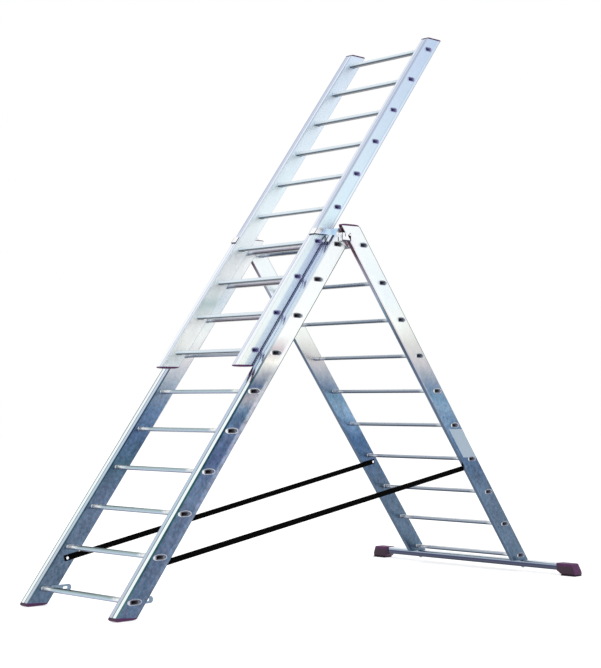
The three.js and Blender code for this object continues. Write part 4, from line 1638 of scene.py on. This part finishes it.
@dataclass(frozen=True)
class Stabiliser:
    """Rounded tube across the rear, its bolts, and the moulded boots over its ends."""

    rear: Section
    finishes: Finishes
    wall: float = 0.0024
    corner: float = 0.009
    grow: float = 0.005
    flare: float = 0.006
    sole: float = 0.007
    skew: float = 0.12  # the boots lean back with the stiles
    mid_height: float = 0.045  # height at which they are square over the tube

    NODE = "stabiliser_bar"

    def build(self) -> None:
        """Builds the tube with its bolts, then the two boots with their soles."""
        points = vertices(self.NODE)
        reach = np.abs(points[:, 0])
        ends = points[reach > reach.max() - 1e-4]
        tube = ends.min(0), ends.max(0)
        self._bar(tube, points)
        for side in Side:
            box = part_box(f"stabiliser_foot_{side.word}")
            span = tuple(sorted(abs(corner[0]) for corner in box))
            self._boot(side, tube, span)
            self._sole(side, tube, span)

    @staticmethod
    def _ring(x: float, low: float, high: float, wide: float, radius: float, y: float) -> Points:
        """Rounded rectangle across the tube at x."""
        return standing(x, rounded_loop(wide, high - low, radius, 6) + (y, (low + high) / 2))

    def _bar(self, tube: tuple[Points, Points], points: Points) -> None:
        """The tube, open at its ends, with a hexagon head and a bolt's end under each stile.

        Args:
            tube: Low and high corner of the bare tube.
            points: The solid's points, for its bolts.
        """
        (x0, y0, z0), (x1, y1, z1) = tube
        y, wide = (y0 + y1) / 2, y1 - y0
        skin, wall = Skin(), self.wall
        xs = np.linspace(x0, x1, 33)
        outside = [self._ring(x, z0, z1, wide, self.corner, y) for x in xs]
        inside = [
            self._ring(x, z0 + wall, z1 - wall, wide - 2 * wall, self.corner - wall, y)
            for x in xs[[-1, 0]]
        ]
        skin.grid(outside + inside, ring=True)
        bolt_x = (self.rear.inner + self.rear.outer) / 2
        under = points[points[:, 2] < z0 - 0.002]
        bolt_y, bottom = (under[:, 1].min() + under[:, 1].max()) / 2, points[:, 2].min()
        profile = (
            (z0 + 0.001, 0.010), (z0, 0.0125), (z0 - 0.0016, 0.0125), (z0 - 0.0016, 0.010),
            (bottom + 0.001, 0.010), (bottom, 0.0092),
        )
        for sign in (-1, 1):
            centre = (sign * bolt_x, bolt_y)
            loops = [(centre + radius * circle(6), z) for z, radius in profile]
            skin.tube([np.column_stack([loop, np.full(6, z)]) for loop, z in loops])

        def spot(points: Points) -> Points:
            """Height on the tube, from 0 to 1."""
            return (points[:, 2:] - z0) / (z1 - z0) * (1, 0, 0)

        piece = skin.build(f"{self.NODE}_tube", self.finishes.bar, crease=35.0, place=spot)
        keep(piece, Body.REAR, Slot.EXTRUSION, self.NODE)

    def _boot(self, side: Side, tube: tuple[Points, Points], span: Span) -> None:
        """The boot: a sleeve that swells into a block, sloping down to its outer tip.

        Args:
            side: Its side.
            tube: Low and high corner of the bare tube.
            span: x at which it starts and ends, without its sign.
        """
        (low, high), (start, end) = tube, span
        y, bare = (low[1] + high[1]) / 2, high[1] - low[1]
        top, under, wide = high[2] + self.grow / 2, low[2] - self.grow, bare + 2 * self.grow
        sole, flare = self.sole, self.flare
        stations = (  # x, underside, drop of the top, extra width
            (start, under + 0.001, 0.001, -0.003), (start + 0.003, under - 0.001, 0.0, 0.0),
            (start + 0.010, under - 0.003, 0.0, 0.0),
            (start + 0.022, under * 0.5, 0.0, flare * 0.7),
            (start + 0.032, sole, 0.0, flare), (end - 0.026, sole, 0.0, flare),
            (end - 0.022, sole, 0.002, flare), (end - 0.012, sole, 0.024, flare),
            (end - 0.003, sole, 0.044, flare - 0.002), (end - 0.001, sole + 0.002, 0.049, 0.0),
        )
        loops = [
            self._ring(side.value * x, bottom, top - drop, wide + extra, 0.005, y)
            for x, bottom, drop, extra in stations
        ]
        for loop in loops:
            loop[:, 1] += (self.mid_height - loop[:, 2]) * self.skew
        fit = (low[2] - FIT, high[2] + FIT, bare + 2 * FIT, self.corner + FIT, y)
        socket = [self._ring(side.value * x, *fit) for x in (abs(high[0]) + FIT, start)]
        skin = Skin()
        skin.grid([socket[1], *loops])
        skin.lid(loops[-1])
        skin.grid(socket)
        skin.lid(socket[0])
        name = f"stabiliser_foot_{side.word}"
        piece = skin.build(f"{name}_boot", self.finishes.plastic, crease=38.0)
        keep(piece, Body.REAR, Slot.PLASTIC, name)

    def _sole(self, side: Side, tube: tuple[Points, Points], span: Span) -> None:
        """Rubber sole under the boot, whose cross grooves are twelve cosine waves.

        Args:
            side: Its side.
            tube: Low and high corner of the bare tube.
            span: x at which the boot starts and ends, without its sign.
        """
        (low, high), (start, end) = tube, span
        y, wide = (low[1] + high[1]) / 2, high[1] - low[1] + 2 * self.grow + self.flare
        xs = np.linspace(start + 0.034, end, 49)
        groove = 0.0012 * (0.5 - 0.5 * np.cos((xs - xs[0]) / (xs[-1] - xs[0]) * 2 * math.pi * 12))
        groove[-1] = 0.0
        taper = np.clip((end - xs) / 0.010, 0.0, 1.0)
        tops, widths = self.sole - FIT + 0.0005 * taper, wide * (0.93 + 0.07 * taper)
        stations = zip(side.value * xs, groove, tops, widths)
        skin = Skin()
        skin.tube([self._ring(*station, 0.002, y) for station in stations])
        piece = skin.build(f"stabiliser_foot_{side.word}_sole", self.finishes.rubber, crease=38.0)
        keep(piece, Body.REAR, Slot.PLASTIC)


@dataclass(frozen=True)
class Strap:
    """Webbing from a front stile to a rear stile, riveted near each end."""

    side: Side
    webbing: bpy.types.Material
    steel: bpy.types.Material
    width: float = 0.030
    thick: float = 0.002
    hem: float = 0.062
    rivet: float = 0.014  # in from each end

    def build(self) -> None:
        """Builds the webbing and its rivets."""
        name = f"strap_{self.side.word}"
        points = vertices(name)
        way = np.ptp(points, axis=0) * (0.0, 1.0, 1.0)
        way /= np.linalg.norm(way)
        reach = points @ way
        start = points[reach < reach.min() + 1e-3].mean(0)
        end = points[reach > reach.max() - 1e-3].mean(0)
        length = float(np.linalg.norm(end - start))
        run, across = (end - start) / length, np.cross((1.0, 0.0, 0.0), way)
        along = np.concatenate([
            np.linspace(0, self.hem, 9), np.linspace(self.hem, length - self.hem, 81)[1:-1],
            np.linspace(length - self.hem, length, 9),
        ])
        # the folded hem makes the webbing thicker near each end
        doubled = np.clip((self.hem + 0.004 - np.minimum(along, length - along)) / 0.008, 0, 1)
        x, y = rounded_loop(self.thick, self.width, 0.0009).T
        x = x * (1 + 0.45 * doubled[:, None])
        flat = start + along[:, None, None] * run + y[:, None] * across
        skin = Skin()
        skin.tube(flat + x[..., None] * (1.0, 0.0, 0.0))
        piece = skin.build(f"{name}_webbing", self.webbing, crease=60.0)
        self._map(piece.data, start, run, across)
        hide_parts(name)
        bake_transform(piece)
        self._rivet(Body.FRONT, start + self.rivet * run, 0.0040)
        self._rivet(Body.REAR, end - self.rivet * run, 0.0020)

    def _map(self, mesh: bpy.types.Mesh, start: Points, run: Points, across: Points) -> None:
        """UV map of the webbing: share of its width, and metres along it.

        Args:
            mesh: Its mesh.
            start: Where it starts.
            run: Its direction.
            across: Direction across it.
        """
        corners = read(mesh.loops, "vertex_index", kind=np.int32)[:, 0]
        from_start = read(mesh.vertices, "co", 3)[corners] - start
        shares = np.stack([from_start @ across / self.width + 0.5, from_start @ run], -1)
        layer = mesh.uv_layers.new(name="webbing")
        layer.data.foreach_set("uv", shares.astype(np.float32).ravel())

    def _rivet(self, body: Body, at: Points, reach: float) -> None:
        """Round rivet head against the webbing's inner side, with its shank behind.

        Args:
            body: The body of the stile that it is in.
            at: Where it passes through the webbing.
            reach: How far its shank goes on past that point.
        """
        face = abs(at[0]) - self.thick * 0.75
        profile = (
            (abs(at[0]) + reach, 0.0045), (face, 0.0045), (face, 0.0078), (face - 0.0008, 0.0080),
            (face - 0.0015, 0.0066), (face - 0.0019, 0.0030),
        )
        loops = [(self.side.value * x, at[1:] + radius * circle(20)) for x, radius in profile]
        skin = Skin()
        skin.tube([standing(*loop) for loop in loops])
        piece = skin.build(f"strap_rivet_{body.name.lower()}_{self.side.word}", self.steel)
        keep(piece, body, Slot.STEEL)


@dataclass(frozen=True)
class Label:
    """Blank plate on the web of the right rear stile, between two rungs."""

    section: Section
    finish: bpy.types.Material
    from_rung: int = 4
    z: Span = (-0.037, 0.054)
    ends: Span = (0.010, 0.022)  # up from the lower rung, and down from the upper one
    thick: float = 0.0004

    def build(self) -> None:
        """Builds the plate on the outer web, its ends cut level."""
        s, x = self.section, self.section.outer + 0.0001
        low, high = (s.world(0.0, (self.from_rung - n) * s.pitch, 0.0)[2] for n in (1, 0))
        low, high = low + self.ends[0], high - self.ends[1]
        (z0, z1), pin = self.z, s.world(0.0, *s.pin[:2])
        corners = []
        for height, z in ((low, z0), (high, z0), (high, z1), (low, z1)):
            y = (height - s.origin[2] - z * s.out[2]) / s.along[2]
            corners.append((s.world(0.0, y, z) - pin)[1:])
        made = Pressing(s, Side.RIGHT, self.finish)
        made.sheet(np.array(corners), (x, x + self.thick))
        keep(made.skin.build("blank_label_plate", self.finish), s.body, Slot.PLASTIC)


# ---------------------------------------------------------------- studio
@dataclass(frozen=True)
class Studio:
    """White surround, pale floor, soft lamps and the camera."""

    azimuth: float = 45.7
    elevation: float = -2.586
    place: tuple[float, float, float] = (5.980, -5.8114, 1.028)
    lens: float = 80.40
    soft: float = 0.62  # strength of the surround and the floor where they only light
    floor_size: float = 60.0
    panel: float = 5.0  # side of each lamp
    target: tuple[float, float, float] = (0.0, 0.0, 1.2)  # where the lamps look

    def build(self) -> None:
        """Sets the view transform and builds the world, floor, lamps and camera."""
        bpy.context.scene.view_settings.view_transform = "Standard"
        self._world()
        self._floor()
        self._lamp("key_panel", (4.5, -4.5, 5.5), 110.0)
        self._lamp("fill_panel", (-5.0, -3.0, 4.0), 45.0)
        self._camera()

    @staticmethod
    def _seen(graph: Graph) -> Value:
        """Whether the background is seen: straight, in gloss or through glass.

        Args:
            graph: The tree.

        Returns:
            1 for such a ray, and else 0.
        """
        rays = [f"Is {kind} Ray" for kind in ("Camera", "Glossy", "Transmission")]
        outputs = graph.node("ShaderNodeLightPath").socket.node.outputs
        straight, glossy, through = (Value(graph, outputs[name]) for name in rays)
        return straight.most(glossy).most(through)

    def _world(self) -> None:
        """White where it is seen, and softer where it only lights."""
        world = bpy.data.worlds.new("studio_white")
        world.use_nodes = True
        bpy.context.scene.world = world
        graph = Graph(world.node_tree)
        strength = self._seen(graph) * (1.0 - self.soft) + self.soft
        inputs = {"Color": (1, 1, 1, 1), "Strength": strength}
        lit = graph.node("ShaderNodeBackground", inputs=inputs)
        graph.node("ShaderNodeOutputWorld", inputs={0: lit})

    def _floor(self) -> None:
        """Pale floor that fades to white and keeps the ladder's soft shadow."""
        half = self.floor_size / 2
        mesh = bpy.data.meshes.new("floor")
        corners = [(-half, -half, 0), (half, -half, 0), (half, half, 0), (-half, half, 0)]
        mesh.from_pydata(corners, [], [(0, 1, 2, 3)])
        mesh.materials.append(new_material("pale_floor", self._pale))
        link("floor", mesh)

    def _pale(self, graph: Graph) -> Value:
        """Diffuse floor with a glow that is only seen.

        Args:
            graph: The material's tree.

        Returns:
            The shader.
        """
        diffuse = graph.node("ShaderNodeBsdfDiffuse", inputs={"Color": (0.9, 0.9, 0.9, 1)})
        inputs = {"Color": (1, 1, 1, 1), "Strength": self._seen(graph) * self.soft}
        glow = graph.node("ShaderNodeEmission", inputs=inputs)
        return graph.node("ShaderNodeAddShader", inputs={0: diffuse, 1: glow})

    def _lamp(self, name: str, place: tuple[float, float, float], power: float) -> None:
        """A large soft area lamp that looks at the ladder.

        Args:
            name: Its name.
            place: Where it stands.
            power: Its power in watts.
        """
        lamp = bpy.data.lights.new(name, "AREA")
        lamp.size, lamp.energy = self.panel, power
        made = link(name, lamp)
        made.visible_glossy = False
        made.location = place
        way = Vector(self.target) - Vector(place)
        made.rotation_euler = way.to_track_quat("-Z", "Y").to_euler()

    def _camera(self) -> None:
        """The camera, level and at the height of a standing onlooker's waist."""
        lens = bpy.data.cameras.new("camera")
        lens.sensor_fit, lens.sensor_width, lens.lens = "AUTO", 36.0, self.lens
        lens.clip_end = 200.0
        made = link("camera", lens)
        made.location = self.place
        made.rotation_euler = (math.radians(90.0 - self.elevation), 0.0, math.radians(self.azimuth))
        bpy.context.scene.camera = made


# ---------------------------------------------------------------- ladder
class Ladder:
    """The whole ladder, built section by section."""

    def __init__(self) -> None:
        """Measures the sections."""
        self.sections = [Section.measured(body) for body in Body]

    def build(self) -> None:
        """Builds every piece in order."""
        front, extension, rear = self.sections
        made = Finishes(self.sections)
        for section in self.sections:
            body = section.body
            for side in Side:
                Stile(section, side, made.stile[body]).build()
            for number in range(Section.RUNGS):
                Rung(section, number, made.rung[body], made.bore[body]).build()
        for side in Side:
            for part in (
                EndCap(front, side, "front_foot", made.plastic, top=False, sole=True),
                EndCap(front, side, "front_top_cap", made.plastic),
                EndCap(extension, side, "extension_foot", made.plastic, top=False),
                EndCap(extension, side, "extension_top_cap", made.plastic),
                EndCap(rear, side, "rear_top_cap", made.plastic),
                HingeSet(front, rear, side, made.steel),
                Strap(side, made.webbing, made.steel),
            ):
                part.build()
        Stabiliser(rear, made).build()
        Label(rear, made.label).build()


def main() -> None:
    """Builds the studio and the ladder."""
    logging.basicConfig(level=logging.INFO, format="%(name)s: %(message)s")
    Studio().build()
    Ladder().build()


if __name__ == "__main__":
    main()
